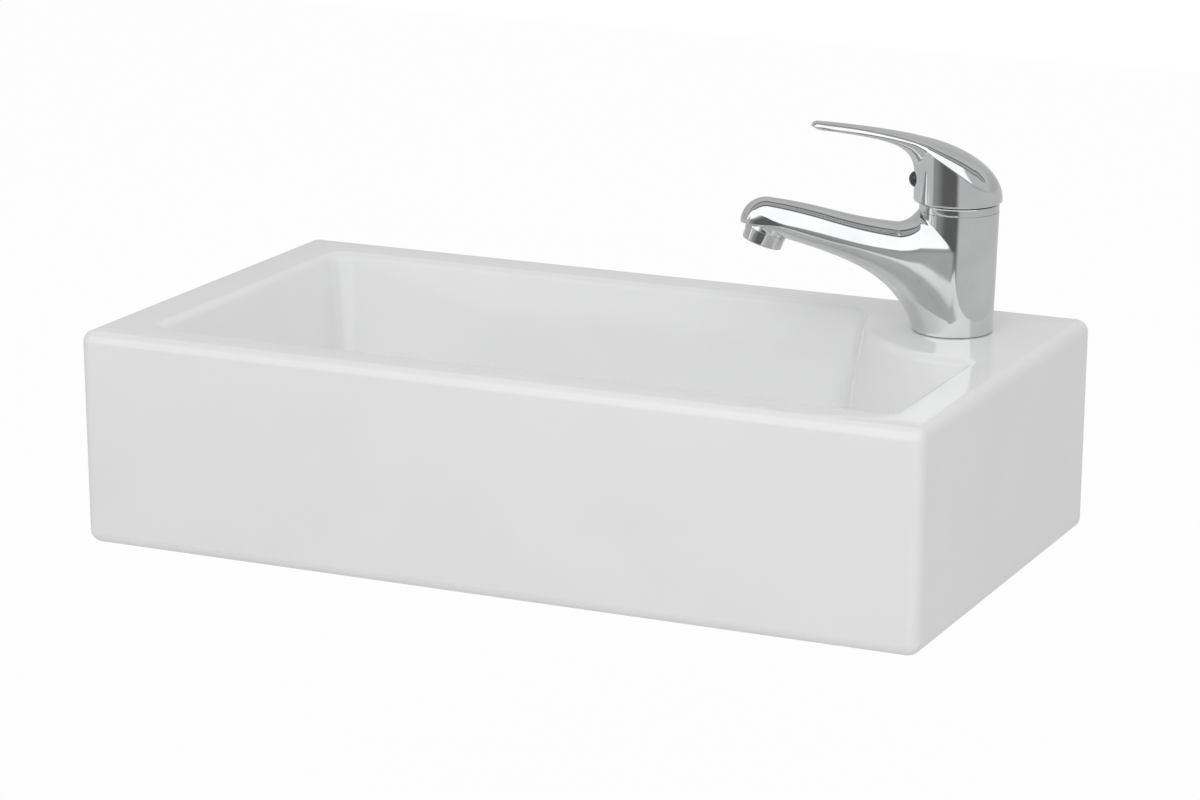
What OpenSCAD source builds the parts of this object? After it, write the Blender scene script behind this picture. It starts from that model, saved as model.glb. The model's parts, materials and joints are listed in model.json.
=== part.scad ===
// Small wall-hung washbasin with a single-lever mixer tap on a ledge at its right
// and a push-button waste. Millimetres, +X to the right, +Y towards the wall, +Z up.
// The origin lies on the back face, midway between the two wall fixing holes.

/* [Basin] */
// Overall width
basin_w = 500; // [470:5:600]
// Overall depth from the wall to the front face
basin_d = 275; // [265:1:330]
// Height of the sides
basin_h = 122.5; // [119:0.5:160]
// Lean of the front and side faces, in degrees
side_lean = 0.5; // [0:0.1:1.5]
// Radius of the outer edges
edge_r = 7; // [4:0.5:9]
// Radius of the edge between the back face and the underside
heel_edge_r = 2; // [1:0.5:4]
// Radius of the upright corners, seen from above
corner_r = 8; // [5:0.5:12]
// Thickness of the front and side walls
wall_t = 10; // [7:0.5:12]
// Thickness of the back wall, which takes the fixings
back_t = 12; // [9:0.5:15]
// Thickness of the rim and of the tap ledge
deck_t = 12; // [9:0.5:15]

/* [Bowl] */
// Flat rim with its outer edge, at the front
rim_front = 24; // [20:0.5:34]
// The same at the left
rim_left = 28; // [20:0.5:40]
// The same at the right
rim_right = 23.5; // [20:0.5:34]
// The same at the back
rim_back = 26.5; // [24:0.5:34]
// Radius where the rim turns down into the bowl
lip_r = 6; // [3:0.5:8]
// Depth of the bowl at the foot of its walls
bowl_depth = 84; // [70:1:86]
// Lean of the bowl's walls, in degrees
bowl_lean = 9; // [5:0.5:12]
// Radius of the bowl's upright corners
bowl_corner_r = 12; // [8:1:24]
// Radius between the bowl's walls and its floor
heel_r = 22; // [12:1:28]
// Fall of the floor towards the drain
floor_fall = 3; // [2:0.5:5]
// Thickness of the bowl's walls and floor
bowl_t = 9; // [7:0.5:11]

/* [Tap ledge] */
// Tap axis from the right side of the basin
tap_side = 60; // [52:0.5:70]
// Tap axis from the wall
tap_back = 60; // [52:0.5:70]
// Ledge in front of the tap axis, at the right rim
ledge_out = 62.5; // [56:0.5:70]
// Ledge in front of the tap axis, at its rounded corner
ledge_nose = 49; // [44:0.5:54]
// Ledge to the left of the tap axis, at its rounded corner
ledge_side = 34; // [30:0.5:40]
// Ledge to the left of the tap axis, at the back rim
ledge_root = 60; // [54:0.5:70]
// Radius of the ledge's rounded corner
ledge_r = 78; // [50:1:84]
// Radius of the tap hole
tap_hole_r = 17.5; // [16.5:0.1:18.5]

/* [Wall fixings] */
// Distance between the two fixing holes
fixing_span = 280; // [200:5:320]
// Height of the fixing holes above the underside
fixing_h = 50; // [44:1:60]
// Radius of a fixing hole
fixing_r = 7; // [5:0.5:8]

/* [Tap body] */
// Angle between the spout and the width of the basin, towards the front
spout_turn = 25; // [0:1:45]
// Radius of the body at the trim ring
body_r = 22.3; // [21.8:0.1:24]
// Forward lean of the body's foot
body_lean = 1.9; // [0:0.1:3]
// Height of the body's top edge above the ledge
body_h = 68.5; // [68:0.5:74]
// Reach of the spout, from the tap axis to the aerator seat's centre
reach = 107; // [95:1:125]
// Height of the aerator seat's centre above the ledge
seat_h = 56.8; // [52:0.2:60]
// Tilt of the aerator, in degrees
aerator_tilt = 19.5; // [10:0.5:25]
// Thickness of the spout above the aerator seat
tip_t = 18.7; // [17:0.1:22]
// Half width of the spout over the aerator
tip_half = 13.2; // [12.8:0.1:15]
// How far the spout's nose reaches past the seat's centre
nose = 14.2; // [13:0.1:17]
// Height of the spout's top where it leaves the body
spout_root_h = 61.3; // [58:0.1:64]
// Length of the rise from the spout's top to the trim ring
root_run = 10.8; // [8:0.1:14]
// Height of the crowned part of the spout's section
spout_crown = 13; // [9:0.5:14]
// Radius of the waterway in the spout
waterway_r = 5; // [4:0.1:5.5]

/* [Aerator] */
// Radius of the aerator's shell
aerator_r = 11.8; // [11.2:0.1:12]
// Height of the shell below its seat
aerator_h = 7.6; // [6:0.1:10]
// Radius of the shell's thread
aerator_thread_r = 10.9; // [10.4:0.1:11]
// Length of the shell's thread
aerator_thread = 5; // [4:0.1:7]

/* [Cartridge] */
// Radius of the cartridge
cartridge_r = 17.5; // [17:0.1:17.8]
// Depth of the chamber's floor below the body's top edge
chamber_depth = 28.5; // [28:0.1:30]
// Depth of the lever's pivot below the body's top edge
pivot_depth = 6; // [5.5:0.1:6.4]
// Full lift of the lever, in degrees
lift = 25; // [20:1:26]
// Length of the stem's lower arm
stem_arm = 9.5; // [9:0.1:9.8]
// Length of the stem above its pivot
stem_l = 27; // [25:0.5:29]
// Side of the square stem
stem_w = 8; // [6:0.1:8.4]
// Radius of the stem's pin
pin_r = 1.5; // [1:0.1:1.8]

/* [Trim ring and handle] */
// Height of the trim ring
ring_h = 4.8; // [3.5:0.1:5.5]
// Radius of the handle's hub
hub_r = 24.7; // [24.4:0.1:26]
// Forward shift of the hub from the tap axis
hub_shift = 0.8; // [0:0.1:1.2]
// Reach of the lever's tip from the tap axis
lever_reach = 83; // [70:1:100]
// Height of the lever's tip above the ledge, on its top face
lever_h = 118; // [114:0.5:126]
// Half width of the lever near its tip
lever_half = 6.3; // [5:0.1:9]
// Thickness of the lever at its tip
lever_t = 4; // [3:0.1:6]
// Height of the crowned part of the handle's section, over the hub
hub_crown = 14; // [10:0.5:16]
// The same at the lever
lever_crown = 3; // [2:0.1:4]
// Height of the hub's front below the lever
hub_front_h = 15; // [12:0.5:18]
// Radius of the index button
button_r = 4.5; // [3.5:0.1:5]
// Height of the index button's centre above the handle's foot
button_rise = 12.3; // [11:0.1:14]
// How far the index button stands out
button_out = 2.8; // [1:0.1:3.5]

/* [Tap fixing] */
// Radius of the fixing stud
stud_r = 4; // [3:0.1:4]
// Length of the stud below the ledge's top
stud_l = 60; // [50:1:70]
// Distance of the stud behind the tap axis
stud_back = 10; // [9.5:0.5:11]
// Radius of a hose inlet's thread
inlet_r = 4.6; // [4:0.1:5]
// Half the distance between the hose inlets
inlet_half = 8.2; // [7.5:0.1:9]
// Radius of the horseshoe washers
horseshoe_r = 24; // [21:0.5:28]

/* [Waste] */
// Radius of the waste's thread
waste_r = 20.95; // [20:0.05:22]
// Wall of the waste's tube
waste_t = 3; // [2:0.1:4]
// Radius of the waste's flange
flange_r = 31.5; // [29:0.5:34]
// Length of the waste below the bowl
waste_l = 70; // [55:1:90]
// Radius of the drain hole
drain_r = 23; // [22.5:0.1:24.5]
// Radius of the plug's cap
plug_r = 19.6; // [18:0.1:20]
// Lift of the plug when it is open
plug_lift = 7; // [4:0.5:9]

/* [Hidden] */
$fn = 72;

// Clearances
running = 0.1;      // round parts that turn or slide in each other
loose = 0.3;        // parts of different bodies that pass each other
through = 1;        // how far a cut runs past a face

// Heights and places of the basin
deck_z = basin_h - fixing_h;
under_z = -fixing_h;
tap_x = basin_w / 2 - tap_side;
tap_y = -tap_back;

// Outlines seen from above, anticlockwise from the front left corner
block = [[-basin_w / 2, -basin_d], [basin_w / 2, -basin_d], [basin_w / 2, 0], [-basin_w / 2, 0]];
mouth = [
    [-basin_w / 2 + rim_left, -basin_d + rim_front],
    [basin_w / 2 - rim_right, -basin_d + rim_front],
    [basin_w / 2 - rim_right, -tap_back - ledge_out],
    [tap_x - ledge_side, -tap_back - ledge_nose],
    [tap_x - ledge_root, -rim_back],
    [-basin_w / 2 + rim_left, -rim_back]
];
ledge_corner = 3;   // place of the ledge's rounded corner in the outline of the mouth

// Drain, in the middle of the bowl
waste_x = 0;
waste_y = -(basin_d + rim_back - rim_front) / 2;
recess_r = flange_r + 1.5;
floor_flat = 3;     // flat floor round the recess
flange_t = 2.5;
seal_t = 2;
recess_t = flange_t + seal_t;
boss_r = recess_r + 9;
drain_wall = 9;
floor_z = -bowl_depth - floor_fall;
seat_z = floor_z - recess_t;
boss_z = seat_z - drain_wall;

// Plane geometry
function unit(v) = v / norm(v);
function left_of(v) = [-v[1], v[0]];
function cross2(a, b) = a[0] * b[1] - a[1] * b[0];
function meet(p, u, q, v) = p + u * cross2(q - p, v) / cross2(u, v);
function mix(a, b, t) = a + (b - a) * t;
function clamp(x) = min(max(x, 0), 1);
function bezier(p, t) =
    p[0] * pow(1 - t, 3) + p[1] * 3 * t * pow(1 - t, 2) + p[2] * 3 * t * t * (1 - t) + p[3] * pow(t, 3);

// Outline whose sides move inwards by the distances in d
function inset(shape, d) = let (n = len(shape)) [
    for (i = [0:n - 1])
        let (a = shape[(i + n - 1) % n], b = shape[i], c = shape[(i + 1) % n],
             u = unit(b - a), v = unit(c - b))
        meet(b + d[(i + n - 1) % n] * left_of(u), u, b + d[i] * left_of(v), v)
];

// Outline with its corners rounded to the radii in r, by the numbers of steps in n
function rounded(shape, r, n) = let (m = len(shape)) [
    for (i = [0:m - 1])
        let (a = shape[(i + m - 1) % m], b = shape[i], c = shape[(i + 1) % m],
             u = unit(a - b), v = unit(c - b), half = acos(u * v) / 2,
             centre = b + unit(u + v) * r[i] / sin(half), p = b + u * r[i] / tan(half),
             start = atan2(p[1] - centre[1], p[0] - centre[0]),
             turn = (180 - 2 * half) * sign(cross2(b - a, c - b)))
        for (k = [0:n[i]])
            centre + r[i] * [cos(start + turn * k / n[i]), sin(start + turn * k / n[i])]
];

function lift_to(outline, z) = [for (p = outline) [p[0], p[1], z]];

// Solid between rings of equally many points, each anticlockwise seen from the next ring's side
module loft(rings) {
    n = len(rings[0]);
    last = (len(rings) - 1) * n;
    sides = [
        for (r = [0:len(rings) - 2]) for (i = [0:n - 1])
            let (j = (i + 1) % n, a = r * n)
            for (face = [[a + i, a + n + i, a + n + j], [a + i, a + n + j, a + j]]) face
    ];
    bottom = [[for (i = [0:n - 1]) i]];
    top = [[for (i = [n - 1:-1:0]) last + i]];
    polyhedron([for (ring = rings) each ring], concat(sides, bottom, top), convexity = 10);
}

// Basin
function block_ring(z, edge, back_edge) =
    let (lean = (deck_z - z) * tan(side_lean),
         d = [lean + edge, lean + edge, back_edge, lean + edge],
         r = max(corner_r - edge, 1))
    lift_to(rounded(inset(block, d), [r, r, r, r], [5, 5, 5, 5]), z);

module outer_block() {
    steps = 5;
    foot = [
        for (k = [0:steps]) let (a = 90 * k / steps)
            block_ring(under_z + edge_r * (1 - cos(a)), edge_r * (1 - sin(a)),
                       heel_edge_r * (1 - sin(a)))
    ];
    top = [
        for (k = [0:steps]) let (a = 90 * k / steps)
            block_ring(deck_z - edge_r * (1 - sin(a)), edge_r * (1 - cos(a)), edge_r * (1 - cos(a)))
    ];
    loft(concat(foot, top));
}

module hollow() {
    roof_r = 6;
    least_r = 3;
    steps = 3;
    function ring(z, more) =
        let (lean = (deck_z - z) * tan(side_lean), side = lean + wall_t + more,
             r = max(corner_r - wall_t, least_r))
        lift_to(rounded(inset(block, [side, side, back_t + more, side]), [r, r, r, r], [3, 3, 3, 3]), z);
    loft(concat(
        [ring(under_z - through, 0)],
        [for (k = [0:steps]) let (a = 90 * k / steps)
            ring(deck_z - deck_t - roof_r * (1 - sin(a)), roof_r * (1 - cos(a)))]
    ));
}

// Ring of the bowl at depth z below the deck, its sides moved in by d
function bowl_ring(z, d) =
    let (r = max(bowl_corner_r - min(d, 0), 4),
         radii = [for (i = [0:5]) i == ledge_corner ? ledge_r + d : i == 2 ? r / 2 : r])
    lift_to(rounded(inset(mouth, [for (i = [0:5]) d]), radii, [5, 5, 5, 12, 5, 5]), deck_z + z);

// Wall of the bowl below its lip
lip_end = 90 - bowl_lean;
lip_d = lip_r * sin(lip_end);
lip_z = -lip_r * (1 - cos(lip_end));
function wall_d(z) = lip_d + (lip_z - z) * tan(bowl_lean);
heel_z = -bowl_depth + heel_r;
heel_d = wall_d(heel_z - heel_r * sin(bowl_lean)) + heel_r * cos(bowl_lean);
function heel_ring(r, a) = bowl_ring(heel_z - r * sin(a), heel_d - r * cos(a));

// Ring that has gone the share t of its way to a circle of radius r round the drain. The points
// on the circle lie towards those of the ring, but are spread a little more evenly.
function to_circle(ring, r, t, z) =
    let (n = len(ring), c = [waste_x, waste_y], even = 0.25,
         heading = [for (p = ring) atan2(p[1] - c[1], p[0] - c[0])])
    [
        for (i = [0:n - 1])
            let (step = heading[0] + 360 * i / n,
                 off = (heading[i] - step + 900) % 360 - 180,
                 a = step + (1 - even) * off,
                 m = mix([ring[i][0], ring[i][1]], c + r * [cos(a), sin(a)], t))
            [m[0], m[1], z]
    ];

module bowl_space() {
    lip_steps = 5;
    heel_steps = 6;
    floor_steps = 3;
    rim = heel_ring(heel_r, 90);
    loft(concat(
        [to_circle(rim, recess_r - floor_flat, 1, deck_z + floor_z)],
        [for (k = [floor_steps:-1:1]) let (t = k / floor_steps)
            to_circle(rim, recess_r + floor_flat, t, deck_z - bowl_depth - floor_fall * t)],
        [for (k = [heel_steps:-1:0]) heel_ring(heel_r, mix(bowl_lean, 90, k / heel_steps))],
        [for (k = [lip_steps:-1:0]) let (a = lip_end * k / lip_steps)
            bowl_ring(-lip_r * (1 - cos(a)), lip_r * sin(a))],
        [bowl_ring(through, 0)]
    ));
}

module bowl_back() {
    heel_steps = 4;
    top = -deck_t / 2;
    rim = heel_ring(heel_r + bowl_t, 90);
    loft(concat(
        [for (side = [-1, 1]) to_circle(rim, boss_r + side * floor_flat, 1, rim[0][2])],
        [for (k = [heel_steps:-1:0]) heel_ring(heel_r + bowl_t, mix(bowl_lean, 90, k / heel_steps))],
        [bowl_ring(top, wall_d(top) - bowl_t / cos(bowl_lean))]
    ));
    translate([waste_x, waste_y, deck_z + boss_z])
        cylinder(h = -boss_z - bowl_depth, r = boss_r);
}

module basin() {
    color("white")
    difference() {
        outer_block();
        difference() {
            hollow();
            bowl_back();
        }
        bowl_space();
        at_waste() {
            translate([0, 0, seat_z]) cylinder(h = recess_t + through, r = recess_r);
            translate([0, 0, boss_z - through]) cylinder(h = drain_wall + 2 * through, r = drain_r);
        }
        translate([tap_x, tap_y, deck_z - deck_t - through])
            cylinder(h = deck_t + 2 * through, r = tap_hole_r);
        for (side = [-1, 1])
            translate([side * fixing_span / 2, through, 0])
                rotate([90, 0, 0]) cylinder(h = back_t + 2 * through, r = fixing_r);
    }
}

// Frames of the tap and the waste: z is 0 at the deck, and the spout points along +X
module at_tap() {
    translate([tap_x, tap_y, deck_z]) rotate([0, 0, 180 + spout_turn]) children();
}

module at_waste() {
    translate([waste_x, waste_y, deck_z]) children();
}

module at_floor() {
    at_waste() translate([0, 0, floor_z]) children();
}

module at_aerator() {
    at_tap() translate([reach, 0, seat_h]) rotate([0, -aerator_tilt, 0]) children();
}

module at_pivot() {
    at_tap() translate([0, 0, pivot_h]) children();
}

module at_stem() {
    at_pivot() rotate([0, lift / 2, 0]) children();
}

module tube(h, outer, inner) {
    difference() {
        cylinder(h = h, r = outer);
        translate([0, 0, -through]) cylinder(h = h + 2 * through, r = inner);
    }
}

// Disc of radius r that reaches down by depth, under a spherical cap of height h
module domed(r, depth, h) {
    ball = (r * r + h * h) / (2 * h);
    rotate_extrude() {
        translate([0, -depth]) square([r, 0.75 * depth]);
        intersection() {
            translate([0, h - ball]) circle(r = ball, $fn = 360);
            translate([0, -depth / 2]) square([r, h + depth / 2]);
        }
    }
}

module along_x(from, to, r) {
    translate([from, 0, 0]) rotate([0, 90, 0]) cylinder(h = to - from, r = r);
}

// Cylinder along Y, reaching half to each side
module across(half, r) {
    translate([0, half, 0]) rotate([90, 0, 0]) cylinder(h = 2 * half, r = r);
}

// Upright slice across the tap at u, between heights lo and hi, as wide as half says
function slice(u, lo, hi, half, m) =
    let (z = [for (k = [0:m]) mix(lo, hi, (1 - cos(180 * k / m)) / 2)])
    concat(
        [for (k = [0:m]) [u, k == 0 || k == m ? 0 : max(half(u, z[k]), 0.05), z[k]]],
        [for (k = [m - 1:-1:1]) [u, -max(half(u, z[k]), 0.05), z[k]]]
    );

// Side profile of the spout, as distances from the tap axis and heights above the deck
base_gap = 0.6;     // the foot stands on its gasket, above the ledge
socket_r = aerator_r + 0.4;
seat_in = [reach - socket_r * cos(aerator_tilt), seat_h - socket_r * sin(aerator_tilt)];
seat_out = [reach + socket_r * cos(aerator_tilt), seat_h + socket_r * sin(aerator_tilt)];
nose_z = seat_out[1] + 1.1;
top_h = seat_h + tip_t;
under_from = [body_r, 0];
under_span = seat_in - under_from;
under_curve = [
    under_from, under_from + [0.143 * under_span[0], 0.53 * under_span[1]],
    under_from + [0.393 * under_span[0], 0.752 * under_span[1]], seat_in
];
top_from = [body_r + root_run, spout_root_h];
top_span = [reach, top_h] - top_from;
top_curve = [
    top_from, top_from + [0.413 * top_span[0], 0.21 * top_span[1]],
    top_from + [0.546 * top_span[0], 0.676 * top_span[1]], [reach, top_h]
];
root_curve = [
    [body_r, body_h], [body_r + 0.16 * root_run, mix(body_h, spout_root_h, 0.34)],
    [body_r + 0.42 * root_run, mix(body_h, spout_root_h, 0.93)], top_from
];
function nose_at(a) = [reach + nose * cos(a), nose_z + (top_h - nose_z) * sin(a)];
under_pts = [for (k = [0:18]) bezier(under_curve, k / 18)];
nose_pts = [for (a = [0:10:90]) nose_at(a)];
front_pts = concat(under_pts, [seat_out], nose_pts);
top_pts = concat(
    [[-body_r, body_h]], [for (k = [0:6]) bezier(root_curve, k / 6)],
    [for (k = [1:10]) bezier(top_curve, k / 10)], [for (a = [80:-10:0]) nose_at(a)]
);
front_by_z = [for (p = front_pts) [p[1], p[0]]];

// Half width of the tap body at u and height z
function spout_half(u) = mix(body_r, tip_half, u / reach);
function body_half(u, z) =
    u <= 0 ? sqrt(max(pow(body_r, 2) - u * u, 0)) :
    let (front = lookup(z, front_by_z), w = spout_half(u), power = 2 * front / spout_half(front),
         low = u < front ? w * sqrt(1 - pow(u / front, power)) : 0,
         z_top = lookup(u, top_pts),
         crown = spout_crown + (u < top_from[0] ? z_top - spout_root_h : 0),
         high = w * sqrt(1 - pow(clamp((z - z_top + crown) / crown), 2)),
         round_body = body_r > u ? sqrt(body_r * body_r - u * u) : 0)
    min(max(low, round_body), max(round_body, high));

module body_shape() {
    m = 13;
    foot = base_gap - 6;
    brim = 4;       // how far the round part is drawn past the height at which it is cut
    back = [for (a = [6:12:78]) -body_r * cos(a)];
    middle = [for (k = [0:6]) body_r * sin(14 * k)];
    spout = [for (k = [1:18]) under_pts[k][0]];
    tip = [for (k = [1:5]) mix(seat_in[0], seat_out[0], k / 5)];
    end = [for (a = [20, 12, 6]) nose_at(a)[0]];
    under_by_u = [for (p = front_pts) if (p[1] <= nose_z) p];
    function lean(p) = [p[0] + body_lean * (1 - p[2] / body_h), p[1], p[2]];
    function ring(u) =
        let (lo = u < body_r ? foot : lookup(u, under_by_u),
             hi = lookup(u, top_pts) + (u < body_r ? brim : 0))
        [for (p = slice(u, lo, hi, function (x, z) body_half(x, z), m)) lean(p)];
    difference() {
        loft([for (u = concat(back, middle, spout, tip, end)) ring(u)]);
        translate([-reach, -reach, foot - through])
            cube([2 * reach, 2 * reach, base_gap - foot + through]);
        translate([0, 0, body_h]) cylinder(h = brim + through, r = body_r + brim);
    }
}

// Cartridge levels, as heights above the deck
chamber_h = body_h - chamber_depth;
pivot_h = body_h - pivot_depth;
seal_gap = 0.2;  // the cartridge stands on its seals, above the chamber's floor
nut_r = cartridge_r + 1.7;
nut_top = body_h - loose;
hex_top = body_h + ring_h / 2;
shoulder_h = pivot_h - 2.5;
neck_r = 14;
neck_top = pivot_h + 4.8;
base_t = 3.6;
disc_base = chamber_h + seal_gap + base_t;
disc_t = 3;
disc_gap = 0.05;
moving_h = disc_base + disc_t + disc_gap;
carrier_h = moving_h + disc_t;
carrier_top = pivot_h - 8.5;
rotor_h = carrier_top + loose;
rotor_top = pivot_h + 7.5;
rotor_r = 8.9;
cup_r = cartridge_r - 3;
port_r = 3;
port_x = 5;
outlet_x = -4.5;
disc_r = 11.4;
disc_shift = stem_arm * sin(lift / 2);

// Depths of the bores in the body's foot
stud_bore = 16;
inlet_bore = 14;

// Sloping waterway from the outlet's well to the aerator socket
well_floor = chamber_h - 6;
waterway_end = [reach - 2, seat_h + 6];

module tap_body() {
    color("silver")
    difference() {
        union() {
            at_tap() body_shape();
            at_aerator() cylinder(h = tip_t / 2, r = socket_r);
        }
        at_tap() {
            translate([0, 0, chamber_h]) cylinder(h = body_h, r = cartridge_r + running);
            translate([0, 0, shoulder_h]) cylinder(h = body_h, r = nut_r + running);
            translate([-stud_back, 0, 0]) cylinder(h = stud_bore, r = stud_r);
            for (side = [-1, 1]) translate([port_x, side * inlet_half, 0]) {
                cylinder(h = inlet_bore, r = inlet_r);
                cylinder(h = chamber_h + through, r = port_r);
            }
            difference() {
                cylinder(h = gasket_t + running, r = gasket_r + running);
                cylinder(h = gasket_t + 2 * through, r = gasket_r - gasket_w - running);
            }
            translate([outlet_x, 0, well_floor])
                cylinder(h = chamber_h - well_floor + through, r = port_r);
            waterway([outlet_x, well_floor], waterway_end);
        }
        at_aerator() {
            translate([0, 0, -through])
                cylinder(h = aerator_thread + washer_t + loose + through, r = aerator_thread_r);
            cylinder(h = aerator_thread + washer_t + well_over, r = washer_in);
        }
    }
}

module waterway(from, to) {
    run = to - from;
    translate([from[0], 0, from[1]]) rotate([0, 90 - atan2(run[1], run[0]), 0]) {
        cylinder(h = norm(run), r = waterway_r);
        sphere(r = waterway_r);
    }
}

// Seal under the tap's foot
gasket_r = 21;
gasket_w = 3;
gasket_t = 1.6;

module base_gasket() {
    color("dimgray") at_tap() tube(gasket_t, gasket_r, gasket_r - gasket_w);
}

// Fixing under the ledge
horseshoe_t = 3;
plate_t = 2.5;
nut_af = stud_r + 9;
stud_in = stud_bore - 0.5;
slot_r = inlet_half + inlet_r + 0.7;
slot_x = port_x - 1;

module fixing_stud() {
    color("silver") at_tap() translate([-stud_back, 0, -stud_l]) cylinder(h = stud_l + stud_in, r = stud_r);
}

module horseshoe(top, t) {
    at_tap() translate([0, 0, top - t]) difference() {
        cylinder(h = t, r = horseshoe_r);
        translate([slot_x, 0, -through]) cylinder(h = t + 2 * through, r = slot_r);
        translate([slot_x, -slot_r, -through]) cube([horseshoe_r, 2 * slot_r, t + 2 * through]);
        translate([-stud_back, 0, -through]) cylinder(h = t + 2 * through, r = stud_r + running);
    }
}

module horseshoe_seal() {
    color("dimgray") horseshoe(-deck_t, horseshoe_t);
}

module horseshoe_plate() {
    color("gray") horseshoe(-deck_t - horseshoe_t, plate_t);
}

module fixing_nut() {
    top = -deck_t - horseshoe_t - plate_t;
    h = 12;
    color("gold") at_tap() translate([-stud_back, 0, top - h]) difference() {
        cylinder(h = h, r = nut_af / 2 / cos(30), $fn = 6);
        translate([0, 0, -through]) cylinder(h = h + 2 * through, r = stud_r);
    }
}

// Aerator, its axis tilted with its seat
shell_t = 1.5;
washer_t = 1.6;
washer_in = aerator_thread_r - 3;
well_over = 3;      // room over the washer, where the waterway comes in
insert_r = aerator_thread_r - shell_t - 2 * running;

module aerator_shell() {
    flat = aerator_r - 0.7;
    collar = 2.4;
    foot_r = aerator_r - 0.4;
    color("silver") at_aerator() difference() {
        union() {
            translate([0, 0, -aerator_h]) intersection() {
                cylinder(h = aerator_h, r1 = foot_r, r2 = aerator_r);
                union() {
                    translate([0, 0, aerator_h / 2])
                        cube([2 * flat, 3 * aerator_r, aerator_h], center = true);
                    translate([0, 0, aerator_h - collar]) cylinder(h = collar, r = 2 * aerator_r);
                }
            }
            cylinder(h = aerator_thread, r = aerator_thread_r - running);
        }
        translate([0, 0, -aerator_h - through])
            cylinder(h = aerator_h + aerator_thread + 2 * through, r = insert_r + running);
    }
}

module aerator_insert() {
    sunk = 1.2;
    h = aerator_h + aerator_thread - sunk - loose;
    cells = 2;
    pitch = 3.4;
    cell_r = 1.25;
    color("whitesmoke") at_aerator() translate([0, 0, sunk - aerator_h]) difference() {
        cylinder(h = h, r = insert_r);
        for (i = [-cells:cells]) for (j = [-cells:cells])
            if (norm([i + j / 2, j * sin(60)]) * pitch < insert_r - cell_r - 0.4)
                translate([(i + j / 2) * pitch, j * sin(60) * pitch, -through])
                    cylinder(h = h + 2 * through, r = cell_r, $fn = 6);
    }
}

module aerator_washer() {
    color("dimgray") at_aerator() translate([0, 0, aerator_thread])
        tube(washer_t, aerator_thread_r - loose, washer_in);
}

// Cartridge
o_ring_t = 1.3;
o_ring_w = 1.5;

module ports(from, h, r) {
    for (side = [-1, 1]) translate([port_x, side * inlet_half, from]) cylinder(h = h, r = r);
    translate([outlet_x, 0, from]) cylinder(h = h, r = r);
}

module cartridge_base() {
    color("darkslategray") at_tap() difference() {
        translate([0, 0, disc_base - base_t]) cylinder(h = base_t, r = cartridge_r);
        ports(chamber_h, disc_base - chamber_h + through, port_r);
        ports(chamber_h, o_ring_t, port_r + o_ring_w + running);
    }
}

module cartridge_seals() {
    color("black") at_tap() difference() {
        ports(chamber_h, o_ring_t, port_r + o_ring_w);
        ports(chamber_h - through, o_ring_t + 2 * through, port_r);
    }
}

module fixed_disc() {
    color("white") at_tap() difference() {
        translate([0, 0, disc_base]) cylinder(h = disc_t, r = cup_r - loose);
        ports(disc_base - through, disc_t + 2 * through, port_r - loose);
    }
}

module moving_disc() {
    pocket = 1.5;
    color("ivory") at_tap() translate([-disc_shift, 0, moving_h]) difference() {
        cylinder(h = disc_t, r = disc_r);
        translate([outlet_x + disc_shift, 0, -through]) cylinder(h = pocket + through, r = port_r + 1);
    }
}

ball_r = 2.1;

module disc_carrier() {
    socket = ball_r + loose;
    socket_h = pivot_h - stem_arm - socket;
    color("whitesmoke") at_tap() translate([-disc_shift, 0, 0]) difference() {
        translate([0, 0, carrier_h]) cylinder(h = carrier_top - carrier_h, r = disc_r);
        translate([-socket, -socket, socket_h]) cube([2 * socket, 2 * socket, carrier_top - socket_h + through]);
    }
}

module cartridge_housing() {
    color("darkslategray") at_tap() difference() {
        union() {
            translate([0, 0, disc_base]) cylinder(h = shoulder_h - disc_base, r = cartridge_r);
            translate([0, 0, disc_base]) cylinder(h = neck_top - disc_base, r = neck_r);
        }
        cylinder(h = shoulder_h - loose, r = cup_r);
        cylinder(h = neck_top + through, r = rotor_r + running);
    }
}

slot_half = stem_w / 2 + loose;

module cartridge_rotor() {
    slot_reach = 6.4;
    flange = shoulder_h - 2 * loose - rotor_h;
    color("whitesmoke") at_tap() difference() {
        translate([0, 0, rotor_h]) union() {
            cylinder(h = flange, r = cup_r - loose);
            cylinder(h = rotor_top - rotor_h, r = rotor_r);
        }
        translate([-slot_reach, -slot_half, rotor_h - through])
            cube([2 * slot_reach, 2 * slot_half, rotor_top - rotor_h + 2 * through]);
        translate([0, 0, pivot_h]) across(rotor_r + through, pin_r);
    }
}

module stem_pin() {
    color("silver") at_pivot() across(rotor_r - 0.5, pin_r);
}

module cartridge_stem() {
    eye_r = 4.4;
    arm_w = 3.8;
    color("gold") at_stem() difference() {
        union() {
            translate([-stem_w / 2, -stem_w / 2, 0]) cube([stem_w, stem_w, stem_l]);
            across(stem_w / 2, eye_r);
            translate([-arm_w / 2, -arm_w / 2, -stem_arm]) cube([arm_w, arm_w, stem_arm]);
            translate([0, 0, -stem_arm]) sphere(r = ball_r);
        }
        across(stem_w / 2 + through, pin_r + running / 2);
    }
}

module cartridge_nut() {
    color("gold") at_tap() difference() {
        union() {
            translate([0, 0, shoulder_h]) cylinder(h = nut_top - shoulder_h, r = nut_r);
            translate([0, 0, shoulder_h]) cylinder(h = hex_top - shoulder_h, r = ring_in - loose, $fn = 6);
        }
        translate([0, 0, shoulder_h - through])
            cylinder(h = hex_top - shoulder_h + 2 * through, r = neck_r + 2 * running);
    }
}

// Trim ring on the body's top edge
ring_in = cartridge_r + running;
ring_top = body_h + ring_h;

module trim_ring() {
    round_r = 1.4;
    r = body_r - 0.1;
    color("silver") at_tap() translate([0, 0, body_h]) rotate_extrude() {
        translate([ring_in, 0]) square([r - ring_in, ring_h - round_r]);
        translate([ring_in, 0]) square([r - round_r - ring_in, ring_h]);
        translate([r - round_r, ring_h - round_r]) circle(r = round_r);
    }
}

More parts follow.
